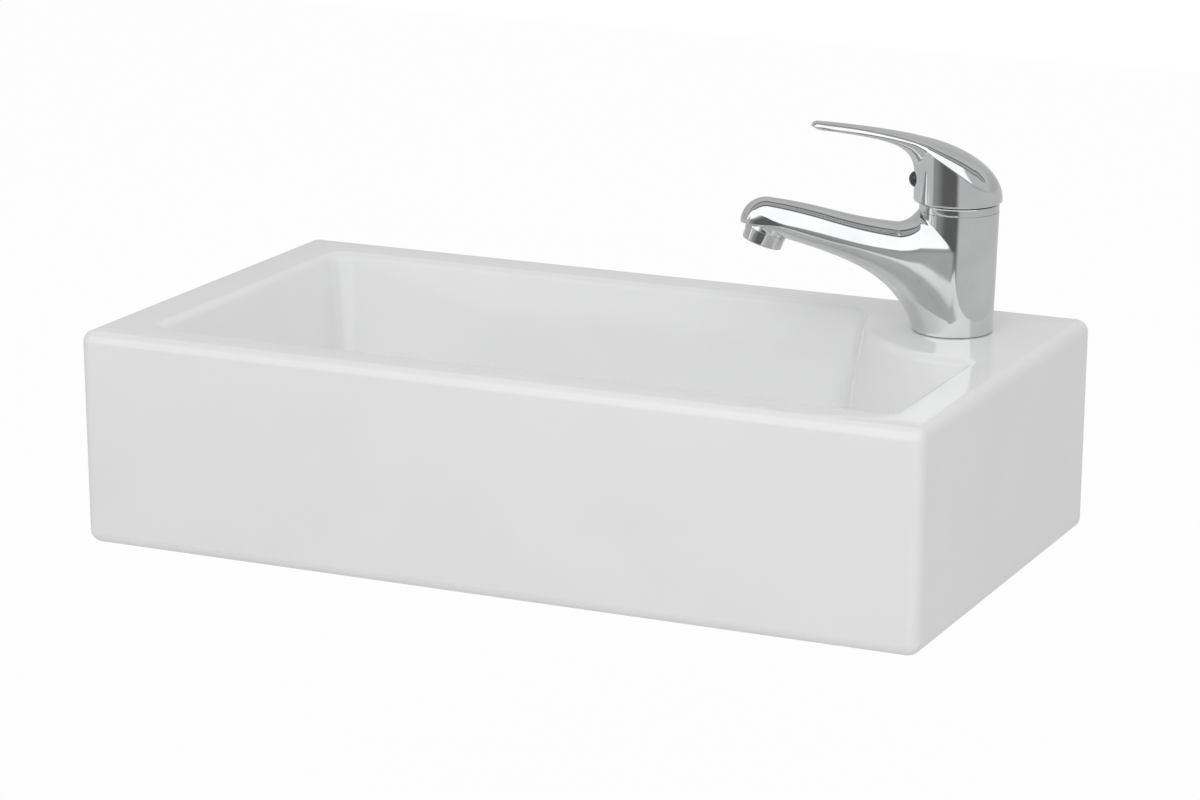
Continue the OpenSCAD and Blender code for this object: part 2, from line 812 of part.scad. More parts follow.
// Side profile of the handle
hub_h = ring_top + loose;
hub_front = hub_r + hub_shift;
hub_back = hub_shift - hub_r;
lever_end = lever_reach - 3;
button_h = hub_h + button_rise;
lever_rise = lever_h - hub_h;
lever_top = [
    [hub_back, hub_h + 2], [hub_back + 1.5, hub_h + 0.58 * lever_rise],
    [mix(-hub_r, lever_reach, 0.37), hub_h + 0.876 * lever_rise], [lever_end, lever_h + 0.3]
];
lever_under = [
    [hub_front, hub_h + hub_front_h], [hub_front, hub_h + 2.2 * hub_front_h],
    [mix(hub_r, lever_reach, 0.3), hub_h + 0.797 * lever_rise], [lever_end, lever_h - lever_t]
];
handle_top = concat(
    [[hub_back - 1, hub_h + 1]], [for (k = [0:24]) bezier(lever_top, k / 24)],
    [[lever_reach - 1, lever_h - 0.3], [lever_reach, lever_h - lever_t / 2]]
);
handle_under = concat(
    [for (k = [0:16]) bezier(lever_under, k / 16)], [[lever_reach, lever_h - lever_t / 2 - 0.2]]
);
handle_front = [for (p = handle_under) [p[1], p[0]]];

// Half width of the handle at u and height z
function lever_half_at(u) = lever_half + (hub_r - lever_half) * pow(clamp(1 - u / lever_end), 2.4);
function handle_half(u, z) =
    let (x = u - hub_shift, hub = abs(x) < hub_r ? sqrt(hub_r * hub_r - x * x) : 0,
         front = lookup(z, handle_front), w = lever_half_at(max(u, 0)),
         power = 2 * front / lever_half_at(front),
         arm = u > 0 && u < front ? w * sqrt(1 - pow(u / front, power)) : 0,
         crown = mix(hub_crown, lever_crown, clamp((u + hub_r / 4) / (1.3 * hub_r))),
         depth = clamp((lookup(u, handle_top) - z) / crown))
    max(hub, arm) * pow(1 - pow(1 - depth, 2), 1 / 3);

module handle_shape() {
    m = 15;
    foot = hub_h - 6;
    back = [for (a = [8:12:80]) hub_shift - hub_r * cos(a)];
    front = [for (k = [1:7]) hub_shift + (hub_r - 0.05) * sin(12 * k)];
    arm = [for (k = [2:16]) bezier(lever_under, k / 16)[0]];
    function ring(u) =
        let (lo = u < hub_front ? foot : lookup(u, handle_under))
        slice(u, lo, lookup(u, handle_top), function (x, z) handle_half(x, z), m);
    difference() {
        loft([
            for (u = concat(back, [hub_shift], front, arm, [lever_reach - 1.2, lever_reach - 0.2])) ring(u)
        ]);
        translate([-lever_reach, -lever_reach, foot - through])
            cube([2 * lever_reach, 2 * lever_reach, hub_h - foot + through]);
        translate([hub_shift, 0, hub_h]) foot_bevel(1.4, 1.8);
    }
}

// Takes the lower outer edge off the hub, by a bevel of that width and height
module foot_bevel(w, h) {
    past = 1.3;     // how far the bevel's line is carried on past the hub's side
    rotate_extrude() polygon([
        [hub_r - w, 0], [hub_r + (past - 1) * w, past * h], [hub_r + w, past * h],
        [hub_r + w, -through], [hub_r - w - through, -through]
    ]);
}

boss_out = stem_w / 2 + 4.2;   // past the corners of the square stem
boss_foot = 14;     // along the stem, from the pivot
grub_r = 2.5;
button_in = 4;
skirt_in = hub_r - 2.3;
cavity_h = 17.5;

module handle() {
    color("silver") difference() {
        at_tap() handle_shape();
        difference() {
            at_tap() rotate_extrude() polygon([
                [0, hub_h - through], [skirt_in, hub_h - through], [skirt_in, hub_h + cavity_h / 5],
                [0.8 * skirt_in, hub_h + 0.6 * cavity_h], [0.43 * skirt_in, hub_h + cavity_h],
                [0, hub_h + cavity_h]
            ]);
            at_stem() translate([0, 0, boss_foot]) cylinder(h = stem_l, r = boss_out);
            at_tap() translate([0, 0, button_h]) along_x(0, hub_r, button_r + 1.5);
        }
        at_stem() translate([-stem_w / 2 - running, -stem_w / 2 - running, 0])
            cube([stem_w + 2 * running, stem_w + 2 * running, stem_l + 0.5]);
        at_tap() translate([0, 0, button_h]) {
            along_x(0, hub_r, grub_r);
            along_x(hub_front - button_in - through, hub_front + through, button_r + running);
        }
    }
}

module grub_screw() {
    tip = (button_h - pivot_h) * tan(lift / 2) + stem_w / 2 / cos(lift / 2) + 0.9;
    length = 6;
    key_r = 1.4;
    color("dimgray") at_tap() translate([0, 0, button_h]) difference() {
        along_x(tip, tip + length, grub_r);
        translate([tip + length / 2, 0, 0]) rotate([0, 90, 0]) cylinder(h = length, r = key_r, $fn = 6);
    }
}

module index_button() {
    color("dimgray") at_tap() translate([hub_front, 0, button_h]) rotate([0, 90, 0])
        domed(button_r, button_in, button_out);
}

// Waste, with heights measured from the deck
tube_in = waste_r - waste_t;
thread_h = 0.75;    // from a thread's crest to where the backnut meets it
nut_bore = waste_r - thread_h;
lower_t = 4;
slip_t = 1.2;
backnut_h = 8;
backnut_z = boss_z - lower_t - slip_t - backnut_h;
mouth_r = plug_r + 1.5;
cone_h = 7;
function cone_r(depth) = mix(mouth_r, tube_in, depth / cone_h);

module waste_body() {
    bevel = 0.8;
    at_floor() color("silver") difference() {
        union() {
            translate([0, 0, -flange_t]) cylinder(h = flange_t - bevel, r = flange_r);
            translate([0, 0, -bevel]) cylinder(h = bevel, r1 = flange_r, r2 = flange_r - 1.5 * bevel);
            translate([0, 0, -waste_l]) cylinder(h = waste_l - bevel, r = nut_bore);
            translate([0, 0, -waste_l]) cylinder(h = waste_l + backnut_z - floor_z, r = waste_r);
        }
        translate([0, 0, -waste_l - through]) cylinder(h = waste_l + 2 * through, r = tube_in);
        translate([0, 0, -cone_h]) cylinder(h = cone_h + through, r1 = tube_in, r2 = cone_r(-through));
    }
}

module waste_top_seal() {
    color("dimgray") at_waste() translate([0, 0, seat_z]) tube(seal_t, flange_r - 1, nut_bore + 2 * running);
}

module waste_lower_seal() {
    color("dimgray") at_waste() translate([0, 0, boss_z - lower_t]) difference() {
        cylinder(h = lower_t, r1 = flange_r - 1, r2 = flange_r - 3);
        translate([0, 0, -through]) cylinder(h = lower_t + 2 * through, r = nut_bore + running);
    }
}

module waste_slip_washer() {
    color("whitesmoke") at_waste() translate([0, 0, boss_z - lower_t - slip_t])
        tube(slip_t, flange_r - 1, nut_bore + loose);
}

module waste_backnut() {
    lip = 2;
    lugs = 6;
    lug_w = 8;
    lug_l = flange_r - waste_r - 5;
    ring_out = waste_r + 5;
    color("gold") at_waste() translate([0, 0, backnut_z]) difference() {
        union() {
            cylinder(h = backnut_h, r = ring_out);
            for (k = [1:lugs]) rotate([0, 0, 360 * k / lugs])
                translate([waste_r + 2, -lug_w / 2, 0]) cube([lug_l, lug_w, backnut_h]);
            translate([0, 0, backnut_h - lip]) cylinder(h = lip, r = flange_r - 2);
        }
        translate([0, 0, -through]) cylinder(h = backnut_h + 2 * through, r = nut_bore);
    }
}

// Plug, closed, with depths below the bowl's floor
plug_sunk = 0.4;
plug_stem_r = 4;
guide_depth = 26;
guide_l = 14;

module plug_guide() {
    wall = 2;
    rib = 2.4;
    step = 1;       // the ribs stop short of the rings' ends
    at_floor() color("whitesmoke") translate([0, 0, -guide_depth - guide_l]) difference() {
        union() {
            tube(guide_l, tube_in - running, tube_in - wall);
            cylinder(h = guide_l, r = plug_stem_r + 3);
            for (a = [0:120:240]) rotate([0, 0, a])
                translate([0, -rib / 2, step]) cube([tube_in - wall / 2, rib, guide_l - 2 * step]);
        }
        translate([0, 0, -through]) cylinder(h = guide_l + 2 * through, r = plug_stem_r + running);
    }
}

module plug_cap() {
    rim = 2;
    crown = 3;
    at_floor() color("silver") translate([0, 0, rim - plug_sunk]) domed(plug_r, rim, crown);
}

module plug_seal() {
    t = 2.4;
    depth = plug_sunk + t;
    at_floor() color("black") translate([0, 0, -depth])
        tube(t, cone_r(depth) - loose, plug_stem_r + running);
}

// The stem still fills its guide when the plug is up
module plug_stem() {
    foot = guide_depth + guide_l + plug_lift;
    at_floor() color("silver") translate([0, 0, -foot]) cylinder(h = foot - plug_sunk, r = plug_stem_r);
}

basin();
tap_body();
base_gasket();
fixing_stud();
horseshoe_seal();
horseshoe_plate();
fixing_nut();
aerator_shell();
aerator_insert();
aerator_washer();
cartridge_base();
cartridge_seals();
fixed_disc();
moving_disc();
disc_carrier();
cartridge_housing();
cartridge_rotor();
stem_pin();
cartridge_stem();
cartridge_nut();
trim_ring();
handle();
grub_screw();
index_button();
waste_body();
waste_top_seal();
waste_lower_seal();
waste_slip_washer();
waste_backnut();
plug_guide();
plug_cap();
plug_seal();
plug_stem();
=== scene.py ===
import json
import math

import bmesh
import bpy
import numpy as np
from mathutils import Matrix, Vector

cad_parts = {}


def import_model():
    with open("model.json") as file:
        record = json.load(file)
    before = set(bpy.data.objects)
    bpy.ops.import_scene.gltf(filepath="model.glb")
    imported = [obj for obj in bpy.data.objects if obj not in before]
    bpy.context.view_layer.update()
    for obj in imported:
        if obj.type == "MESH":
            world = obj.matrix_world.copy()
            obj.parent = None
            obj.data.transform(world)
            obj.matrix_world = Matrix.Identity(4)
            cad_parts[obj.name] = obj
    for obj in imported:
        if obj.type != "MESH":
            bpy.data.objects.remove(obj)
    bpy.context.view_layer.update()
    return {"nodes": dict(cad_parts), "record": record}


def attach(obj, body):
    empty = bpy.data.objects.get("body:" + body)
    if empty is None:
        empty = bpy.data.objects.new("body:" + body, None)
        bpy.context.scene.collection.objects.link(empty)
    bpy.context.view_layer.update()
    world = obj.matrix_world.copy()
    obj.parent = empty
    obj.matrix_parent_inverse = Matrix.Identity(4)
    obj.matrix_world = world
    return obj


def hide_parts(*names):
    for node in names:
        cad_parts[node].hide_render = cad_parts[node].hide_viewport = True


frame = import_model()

# Sizes are in millimetres, in the part's frame, and become metres when a mesh is made.
MM = 0.001

# Sizes of the basin
BASIN_W, BASIN_D = 500, 275
DECK_Z, UNDER_Z = 72.5, -50
SIDE_LEAN = math.radians(0.5)
EDGE_R, HEEL_EDGE_R, CORNER_R = 7, 2, 8
WALL_T, BACK_T, DECK_T = 10, 12, 12
ROOF_R, HOLLOW_R = 6, 3
RIM_FRONT, RIM_LEFT, RIM_RIGHT, RIM_BACK = 24, 28, 23.5, 26.5
LIP_R, BOWL_DEPTH, BOWL_CORNER_R, HEEL_R = 6, 84, 12, 22
BOWL_LEAN = math.radians(9)
FLOOR_FALL, BOWL_T = 3, 9
LEDGE_OUT, LEDGE_NOSE, LEDGE_SIDE, LEDGE_ROOT, LEDGE_R = 62.5, 49, 34, 60, 78
BESIDE_LEDGE, LEDGE_CORNER = 2, 3      # corners of MOUTH
TAP_X, TAP_Y, TAP_HOLE_R = 190, -60, 17.5
FIXING_X, FIXING_R = 140, 7

# Sizes of the waste; FLOOR_Z, SEAT_Z and BOSS_Z count from the deck
WASTE_X, WASTE_Y = 0, -(BASIN_D + RIM_BACK - RIM_FRONT) / 2
FLANGE_R, FLANGE_T, SEAL_T = 31.5, 2.5, 2
RECESS_R, RECESS_T, FLOOR_FLAT = FLANGE_R + 1.5, FLANGE_T + SEAL_T, 3
BOSS_R, DRAIN_R, DRAIN_WALL, DRAIN_EDGE_R = RECESS_R + 9, 23, 9, 1.2
FLOOR_Z = -BOWL_DEPTH - FLOOR_FALL
SEAT_Z = FLOOR_Z - RECESS_T
BOSS_Z = SEAT_Z - DRAIN_WALL
WASTE_R, TUBE_IN, CONE_H, WASTE_L = 20.95, 17.95, 7, 70
PLUG_R, PLUG_SUNK, PLUG_RIM, PLUG_CROWN = 19.6, 0.4, 2, 3

# Sizes of the tap, whose heights count from the ledge and whose lengths u count from its axis
SPOUT_TURN = math.radians(25)
BODY_R, BODY_LEAN, BODY_H = 22.3, 1.9, 68.5
REACH, SEAT_H = 107, 56.8
AERATOR_TILT = math.radians(19.5)
TIP_T, TIP_HALF, NOSE = 18.7, 13.2, 14.2
SPOUT_ROOT_H, ROOT_RUN, SPOUT_CROWN = 61.3, 10.8, 13
BASE_GAP = 0.6
AERATOR_R, AERATOR_H, AERATOR_THREAD_R, AERATOR_THREAD = 11.8, 7.6, 10.9, 5
SOCKET_R = AERATOR_R + 0.4
STUD_U, STUD_BORE_R, STUD_BORE_H = -10, 4, 16
INLET_U, INLET_SIDE, INLET_R, INLET_H = 5, 8.2, 4.6, 14
GASKET_R, GASKET_WIDTH, GASKET_T = 21.3, 1.9, 1.6
CARTRIDGE_R, CHAMBER_H, PIVOT_H, LIFT = 17.5, BODY_H - 28.5, BODY_H - 6, math.radians(25)
RING_H, RING_IN = 4.8, 17.6
HUB_R, HUB_SHIFT = 24.7, 0.8
LEVER_REACH, LEVER_H, LEVER_HALF, LEVER_T = 83, 118, 6.3, 4
HUB_CROWN, LEVER_CROWN, HUB_FRONT_H = 14, 3, 15
HUB_GAP = 0.3
HUB_H = BODY_H + RING_H + HUB_GAP
BUTTON_R, BUTTON_H, BUTTON_OUT, BUTTON_IN = 4.5, HUB_H + 12.3, 2.8, 4
HUB_FRONT = HUB_R + HUB_SHIFT


def mix(a, b, t):
    """From a to b as t goes from 0 to 1."""
    return a + (b - a) * t


def clamp(x):
    """x, but no less than 0 and no more than 1."""
    return min(max(x, 0.0), 1.0)


def bezier(p, t):
    """Point at t on the cubic curve with the four control points p."""
    a, b, c, d = (np.array(q, float) for q in p)
    return a * (1 - t) ** 3 + b * 3 * t * (1 - t) ** 2 + c * 3 * t * t * (1 - t) + d * t ** 3


def curve(points, n=800):
    """The curve with these control points, in n steps."""
    return [tuple(bezier(points, k / n)) for k in range(n + 1)]


def lookup(x, table):
    """The second column of table where the first is x."""
    return float(np.interp(x, table[:, 0], table[:, 1]))


# Meshes
def make_object(name, bm, place=None):
    """A mesh object from bm, whose points are in millimetres and in the frame of place."""
    if place is not None:
        bmesh.ops.transform(bm, matrix=place, verts=bm.verts)
    bmesh.ops.scale(bm, vec=(MM, MM, MM), verts=bm.verts)
    bmesh.ops.recalc_face_normals(bm, faces=bm.faces)
    mesh = bpy.data.meshes.new(name)
    bm.to_mesh(mesh)
    bm.free()
    obj = bpy.data.objects.new(name, mesh)
    bpy.context.scene.collection.objects.link(obj)
    return obj


def smooth(obj, degrees=35):
    """Smooth shading, but for edges sharper than this."""
    for poly in obj.data.polygons:
        poly.use_smooth = True
    obj.data.set_sharp_from_angle(angle=math.radians(degrees))


def add_ring(bm, points):
    return [bm.verts.new(p) for p in points]


def bridge(bm, a, b, material=0):
    """Quads between two closed rings of equally many points."""
    n = len(a)
    for i in range(n):
        j = (i + 1) % n
        bm.faces.new((a[i], a[j], b[j], b[i])).material_index = material


def skin(bm, rings, material=0):
    """Bridges a row of rings and returns the rings' vertices."""
    rows = [add_ring(bm, ring) for ring in rings]
    for a, b in zip(rows, rows[1:]):
        bridge(bm, a, b, material)
    return rows


def edges_round(bm, *rings):
    """Edges of closed rings, made where there is none yet."""
    return [bm.edges.get(pair) or bm.edges.new(pair)
            for ring in rings for pair in zip(ring, ring[1:] + ring[:1])]


def fill(bm, edges, normal, material=0):
    """Flat face between closed runs of edges, the inner ones of which go round its holes."""
    made = bmesh.ops.triangle_fill(bm, use_beauty=True, use_dissolve=False, edges=edges, normal=normal)
    for face in made["geom"]:
        if isinstance(face, bmesh.types.BMFace):
            face.material_index = material


def circle(centre, r, n, u=(1, 0, 0), v=(0, 1, 0)):
    """Points round a circle in the plane of u and v."""
    c, u, v = (np.array(q, float) for q in (centre, u, v))
    return [tuple(c + r * (math.cos(a) * u + math.sin(a) * v))
            for a in (2 * math.pi * k / n for k in range(n))]


def lathe(profile, n=96):
    """Closed solid of revolution about Z from (radius, height) points, first to last round the section."""
    bm = bmesh.new()
    rows = []
    for r, z in profile:
        rows.append([bm.verts.new((0, 0, z))] if r == 0 else add_ring(bm, circle((0, 0, z), r, n)))
    pairs = list(zip(rows, rows[1:]))
    if len(rows[0]) > 1 and len(rows[-1]) > 1:
        pairs.append((rows[-1], rows[0]))
    for a, b in pairs:
        if len(a) == 1:
            for i in range(n):
                bm.faces.new((a[0], b[i], b[(i + 1) % n]))
        elif len(b) == 1:
            for i in range(n):
                bm.faces.new((a[i], a[(i + 1) % n], b[0]))
        else:
            bridge(bm, a, b)
    return bm


def arc(centre, r, start, end, steps):
    """Points on an arc, angles in degrees."""
    return [(centre[0] + r * math.cos(a), centre[1] + r * math.sin(a))
            for a in (math.radians(mix(start, end, k / steps)) for k in range(steps + 1))]


def cut(obj, cutters, operation="DIFFERENCE"):
    """Takes each cutter away from obj, or adds it, and deletes it."""
    for cutter in cutters:
        mod = obj.modifiers.new("cut", "BOOLEAN")
        mod.operation = operation
        mod.solver = "EXACT"
        mod.object = cutter
        bpy.context.view_layer.objects.active = obj
        bpy.ops.object.modifier_apply(modifier=mod.name)
        bpy.data.objects.remove(cutter)


# Frames of the parts: AT_TAP has X along the spout and Z up from the ledge
AT_TAP = Matrix.Translation((TAP_X, TAP_Y, DECK_Z)) @ Matrix.Rotation(math.pi + SPOUT_TURN, 4, "Z")
AT_FLOOR = Matrix.Translation((WASTE_X, WASTE_Y, DECK_Z + FLOOR_Z))
AT_AERATOR = AT_TAP @ Matrix.Translation((REACH, 0, SEAT_H)) @ Matrix.Rotation(-AERATOR_TILT, 4, "Y")
AT_STEM = AT_TAP @ Matrix.Translation((0, 0, PIVOT_H)) @ Matrix.Rotation(LIFT / 2, 4, "Y")
ALONG_X = Matrix.Rotation(math.pi / 2, 4, "Y")
BORE_STEPS, ROUND_STEPS, FINE_STEPS = 48, 160, 128


def rod(name, place, r, low, high, n=96):
    """Plain cylinder along the Z axis of place, used as a cutter."""
    return make_object(name, lathe([(0, low), (r, low), (r, high), (0, high)], n), place)


def block(name, place, low, high):
    """Plain box between two corners in the frame of place, used as a cutter."""
    bm = bmesh.new()
    centre = Matrix.Translation([mix(a, b, 0.5) for a, b in zip(low, high)])
    size = Matrix.Diagonal([b - a for a, b in zip(low, high)] + [1])
    bmesh.ops.create_cube(bm, size=1, matrix=place @ centre @ size)
    return make_object(name, bm)


# Outlines of the basin, seen from above, anticlockwise from the front left corner
BLOCK = [(-BASIN_W / 2, -BASIN_D), (BASIN_W / 2, -BASIN_D), (BASIN_W / 2, 0), (-BASIN_W / 2, 0)]
MOUTH = [
    (-BASIN_W / 2 + RIM_LEFT, -BASIN_D + RIM_FRONT),
    (BASIN_W / 2 - RIM_RIGHT, -BASIN_D + RIM_FRONT),
    (BASIN_W / 2 - RIM_RIGHT, TAP_Y - LEDGE_OUT),
    (TAP_X - LEDGE_SIDE, TAP_Y - LEDGE_NOSE),
    (TAP_X - LEDGE_ROOT, -RIM_BACK),
    (-BASIN_W / 2 + RIM_LEFT, -RIM_BACK),
]


def inset(shape, d):
    """Outline whose sides move inwards by the distances in d."""
    shape = [np.array(p, float) for p in shape]
    out = []
    for i, b in enumerate(shape):
        u = b - shape[i - 1]
        v = shape[(i + 1) % len(shape)] - b
        u, v = u / np.linalg.norm(u), v / np.linalg.norm(v)
        p = b + d[i - 1] * np.array((-u[1], u[0]))
        q = b + d[i] * np.array((-v[1], v[0]))
        w = q - p
        out.append(p + u * (w[0] * v[1] - w[1] * v[0]) / (u[0] * v[1] - u[1] * v[0]))
    return out


def rounded(shape, radii, arc_steps, run_steps):
    """Outline with rounded corners, its straight runs cut into equal steps."""
    arcs = []
    for i, b in enumerate(shape):
        u, v = shape[i - 1] - b, shape[(i + 1) % len(shape)] - b
        u, v = u / np.linalg.norm(u), v / np.linalg.norm(v)
        half = math.acos(float(u @ v)) / 2
        w = (u + v) / np.linalg.norm(u + v)
        centre = b + w * radii[i] / math.sin(half)
        p = b + u * radii[i] / math.tan(half)
        start = math.atan2(p[1] - centre[1], p[0] - centre[0])
        turn = (math.pi - 2 * half) * (1 if -u[0] * v[1] + u[1] * v[0] > 0 else -1)
        steps = arc_steps[i]
        arcs.append([centre + radii[i] * np.array((math.cos(start + turn * k / steps),
                                                   math.sin(start + turn * k / steps)))
                     for k in range(steps + 1)])
    out = []
    for i, points in enumerate(arcs):
        following = arcs[(i + 1) % len(arcs)][0]
        out += points
        out += [mix(points[-1], following, k / run_steps[i]) for k in range(1, run_steps[i])]
    return out


def lift_to(outline, z):
    """The flat outline at height z."""
    return [(p[0], p[1], z) for p in outline]


CORNER_STEPS = 14
LEDGE_STEPS = 48
RUN = 24            # steps along a straight side
GLAZED, BARE = 0, 1
EDGE_STEPS = 12
DRAIN_EDGE_STEPS = 6
HEEL_STEPS = 24
FLOOR_STEPS = 16
TAP_HOLE_STEPS, FIXING_STEPS = 64, 48


def wall_ring(z, side, back, r):
    """Outline of the block at height z, its sides moved in by side and its back by back."""
    shape = inset(BLOCK, [side, side, back, side])
    return lift_to(rounded(shape, [r] * 4, [CORNER_STEPS] * 4, [RUN, RUN, 1, RUN]), z)


def lean_at(z):
    """How far the sides have leaned in at height z."""
    return (DECK_Z - z) * math.tan(SIDE_LEAN)


def block_ring(z, edge, back_edge):
    """Outline of the outer walls at height z, drawn in by the rounding of the edges."""
    return wall_ring(z, lean_at(z) + edge, back_edge, CORNER_R - edge)


def hollow_ring(z, more):
    """Outline of the hollow below the deck at height z, its walls moved in by more."""
    return wall_ring(z, lean_at(z) + WALL_T + more, BACK_T + more, HOLLOW_R)


def bowl_ring(z, d):
    """Outline of the bowl at height z over the deck, its sides moved in by d."""
    r = BOWL_CORNER_R - min(d, 0)
    radii = [r] * len(MOUTH)
    radii[BESIDE_LEDGE] = r / 2
    radii[LEDGE_CORNER] = LEDGE_R + d
    steps = [CORNER_STEPS] * len(MOUTH)
    steps[LEDGE_CORNER] = LEDGE_STEPS
    runs = [2 * RUN, RUN, RUN // 4, RUN // 3, 2 * RUN, RUN]
    return lift_to(rounded(inset(MOUTH, [d] * len(MOUTH)), radii, steps, runs), DECK_Z + z)


LIP_END = math.pi / 2 - BOWL_LEAN
LIP_D = LIP_R * math.sin(LIP_END)
LIP_Z = -LIP_R * (1 - math.cos(LIP_END))


def wall_d(z):
    """How far the bowl's wall has moved in at height z."""
    return LIP_D + (LIP_Z - z) * math.tan(BOWL_LEAN)


HEEL_Z = -BOWL_DEPTH + HEEL_R
HEEL_D = wall_d(HEEL_Z - HEEL_R * math.sin(BOWL_LEAN)) + HEEL_R * math.cos(BOWL_LEAN)


def heel_ring(r, a):
    """Outline of the rounding at the foot of the wall, at radius r and angle a down from level."""
    return bowl_ring(HEEL_Z - r * math.sin(a), HEEL_D - r * math.cos(a))


def to_circle(ring, r, t, z):
    """Ring that has gone the share t of its way to a circle of radius r round the drain."""
    out = []
    for p in ring:
        x, y = p[0] - WASTE_X, p[1] - WASTE_Y
        s = r / math.hypot(x, y)
        out.append((WASTE_X + mix(x, x * s, t), WASTE_Y + mix(y, y * s, t), z))
    return out


def quarter(steps):
    """Angles from 0 to a right angle."""
    return [math.pi / 2 * k / steps for k in range(steps + 1)]


def pierced(bm, y):
    """Takes out the flat back of a wall at y, and puts it back with its two fixing holes."""
    flat = [f for f in bm.faces if all(abs(v.co.y - y) < 1e-4 for v in f.verts)]
    rim = {}
    for face in flat:
        for edge in face.edges:
            rim[edge] = rim.get(edge, 0) + 1
    edges = [e for e, count in rim.items() if count == 1]
    bmesh.ops.delete(bm, geom=flat, context="FACES_ONLY")
    rings = [add_ring(bm, circle((side * FIXING_X, y, 0), FIXING_R, FIXING_STEPS, (1, 0, 0), (0, 0, 1)))
             for side in (-1, 1)]
    fill(bm, edges + edges_round(bm, *rings), (0, 1, 0), BARE)
    return rings


def basin():
    bm = bmesh.new()
    # outer walls, from the foot up to the deck
    foot = [block_ring(UNDER_Z + EDGE_R * (1 - math.cos(a)), EDGE_R * (1 - math.sin(a)),
                       HEEL_EDGE_R * (1 - math.sin(a))) for a in quarter(EDGE_STEPS)]
    top = [block_ring(DECK_Z - EDGE_R * (1 - math.sin(a)), EDGE_R * (1 - math.cos(a)),
                      EDGE_R * (1 - math.cos(a))) for a in quarter(EDGE_STEPS)]
    outer = skin(bm, foot + top, GLAZED)
    outer_holes = pierced(bm, 0)
    # bowl, from the lip down to the drain
    lip = [bowl_ring(-LIP_R * (1 - math.cos(a)), LIP_R * math.sin(a))
           for a in (LIP_END * k / EDGE_STEPS for k in range(EDGE_STEPS + 1))]
    heel = [heel_ring(HEEL_R, mix(BOWL_LEAN, math.pi / 2, k / HEEL_STEPS))
            for k in range(HEEL_STEPS + 1)]
    rim = heel[-1]
    floor = [to_circle(rim, RECESS_R + FLOOR_FLAT, t,
                       DECK_Z - BOWL_DEPTH - FLOOR_FALL * t * t * (3 - 2 * t))
             for t in (k / FLOOR_STEPS for k in range(1, FLOOR_STEPS + 1))]
    turn = [to_circle(rim, RECESS_R + DRAIN_EDGE_R * (1 - math.sin(a)), 1,
                      DECK_Z + FLOOR_Z - DRAIN_EDGE_R * (1 - math.cos(a)))
            for a in quarter(DRAIN_EDGE_STEPS)]
    seat = [to_circle(rim, RECESS_R, 1, DECK_Z + SEAT_Z), to_circle(rim, DRAIN_R, 1, DECK_Z + SEAT_Z),
            to_circle(rim, DRAIN_R, 1, DECK_Z + BOSS_Z)]
    bowl = skin(bm, lip + heel + floor + turn + seat, GLAZED)
    # back of the bowl, from the drain up to the roof of the hollow
    back_rim = heel_ring(HEEL_R + BOWL_T, math.pi / 2)
    low = back_rim[0][2]
    boss = [to_circle(back_rim, BOSS_R, 1, DECK_Z + BOSS_Z), to_circle(back_rim, BOSS_R, 1, low)]
    back = [heel_ring(HEEL_R + BOWL_T, mix(math.pi / 2, BOWL_LEAN, k / EDGE_STEPS))
            for k in range(EDGE_STEPS + 1)]
    back.append(bowl_ring(-DECK_T, wall_d(-DECK_T) - BOWL_T / math.cos(BOWL_LEAN)))
    behind = skin(bm, boss + back, BARE)
    bridge(bm, bowl[-1], behind[0], BARE)
    # hollow under the deck
    inner = [hollow_ring(UNDER_Z, 0)]
    inner += [hollow_ring(DECK_Z - DECK_T - ROOF_R * (1 - math.sin(a)), ROOF_R * (1 - math.cos(a)))
              for a in quarter(EDGE_STEPS // 2)]
    hollow = skin(bm, inner, BARE)
    inner_holes = pierced(bm, -BACK_T)
    # deck, roof and foot, with the tap hole through the first two
    upper = add_ring(bm, circle((TAP_X, TAP_Y, DECK_Z), TAP_HOLE_R, TAP_HOLE_STEPS))
    lower = add_ring(bm, circle((TAP_X, TAP_Y, DECK_Z - DECK_T), TAP_HOLE_R, TAP_HOLE_STEPS))
    fill(bm, edges_round(bm, outer[-1], bowl[0], upper), (0, 0, 1), GLAZED)
    fill(bm, edges_round(bm, hollow[-1], behind[-1], lower), (0, 0, -1), BARE)
    fill(bm, edges_round(bm, outer[0], hollow[0]), (0, 0, -1), BARE)
    bridge(bm, upper, lower, BARE)
    for a, b in zip(outer_holes, inner_holes):
        bridge(bm, a, b, BARE)
    obj = make_object("basin_body", bm)
    smooth(obj)
    return obj


# Tap body: points (u, z) on its section along the spout, whose shares come from the photograph
SEAT_IN = (REACH - SOCKET_R * math.cos(AERATOR_TILT), SEAT_H - SOCKET_R * math.sin(AERATOR_TILT))
SEAT_OUT = (REACH + SOCKET_R * math.cos(AERATOR_TILT), SEAT_H + SOCKET_R * math.sin(AERATOR_TILT))
NOSE_RISE = 1.1      # from the outer edge of the aerator's seat to the nose's widest point
NOSE_Z = SEAT_OUT[1] + NOSE_RISE
TOP_H = SEAT_H + TIP_T
TOP_FROM = (BODY_R + ROOT_RUN, SPOUT_ROOT_H)


def spanned(start, end, shares):
    """Control points from start to end, the inner ones as shares of the way in u and z."""
    inner = [(mix(start[0], end[0], u), mix(start[1], end[1], z)) for u, z in shares]
    return [start, *inner, end]


UNDER_CURVE = spanned((BODY_R, 0), SEAT_IN, [(0.143, 0.53), (0.393, 0.752)])
TOP_CURVE = spanned(TOP_FROM, (REACH, TOP_H), [(0.413, 0.21), (0.546, 0.676)])
ROOT_CURVE = [
    (BODY_R, BODY_H), (BODY_R + 0.16 * ROOT_RUN, mix(BODY_H, SPOUT_ROOT_H, 0.34)),
    (BODY_R + 0.42 * ROOT_RUN, mix(BODY_H, SPOUT_ROOT_H, 0.93)), TOP_FROM,
]


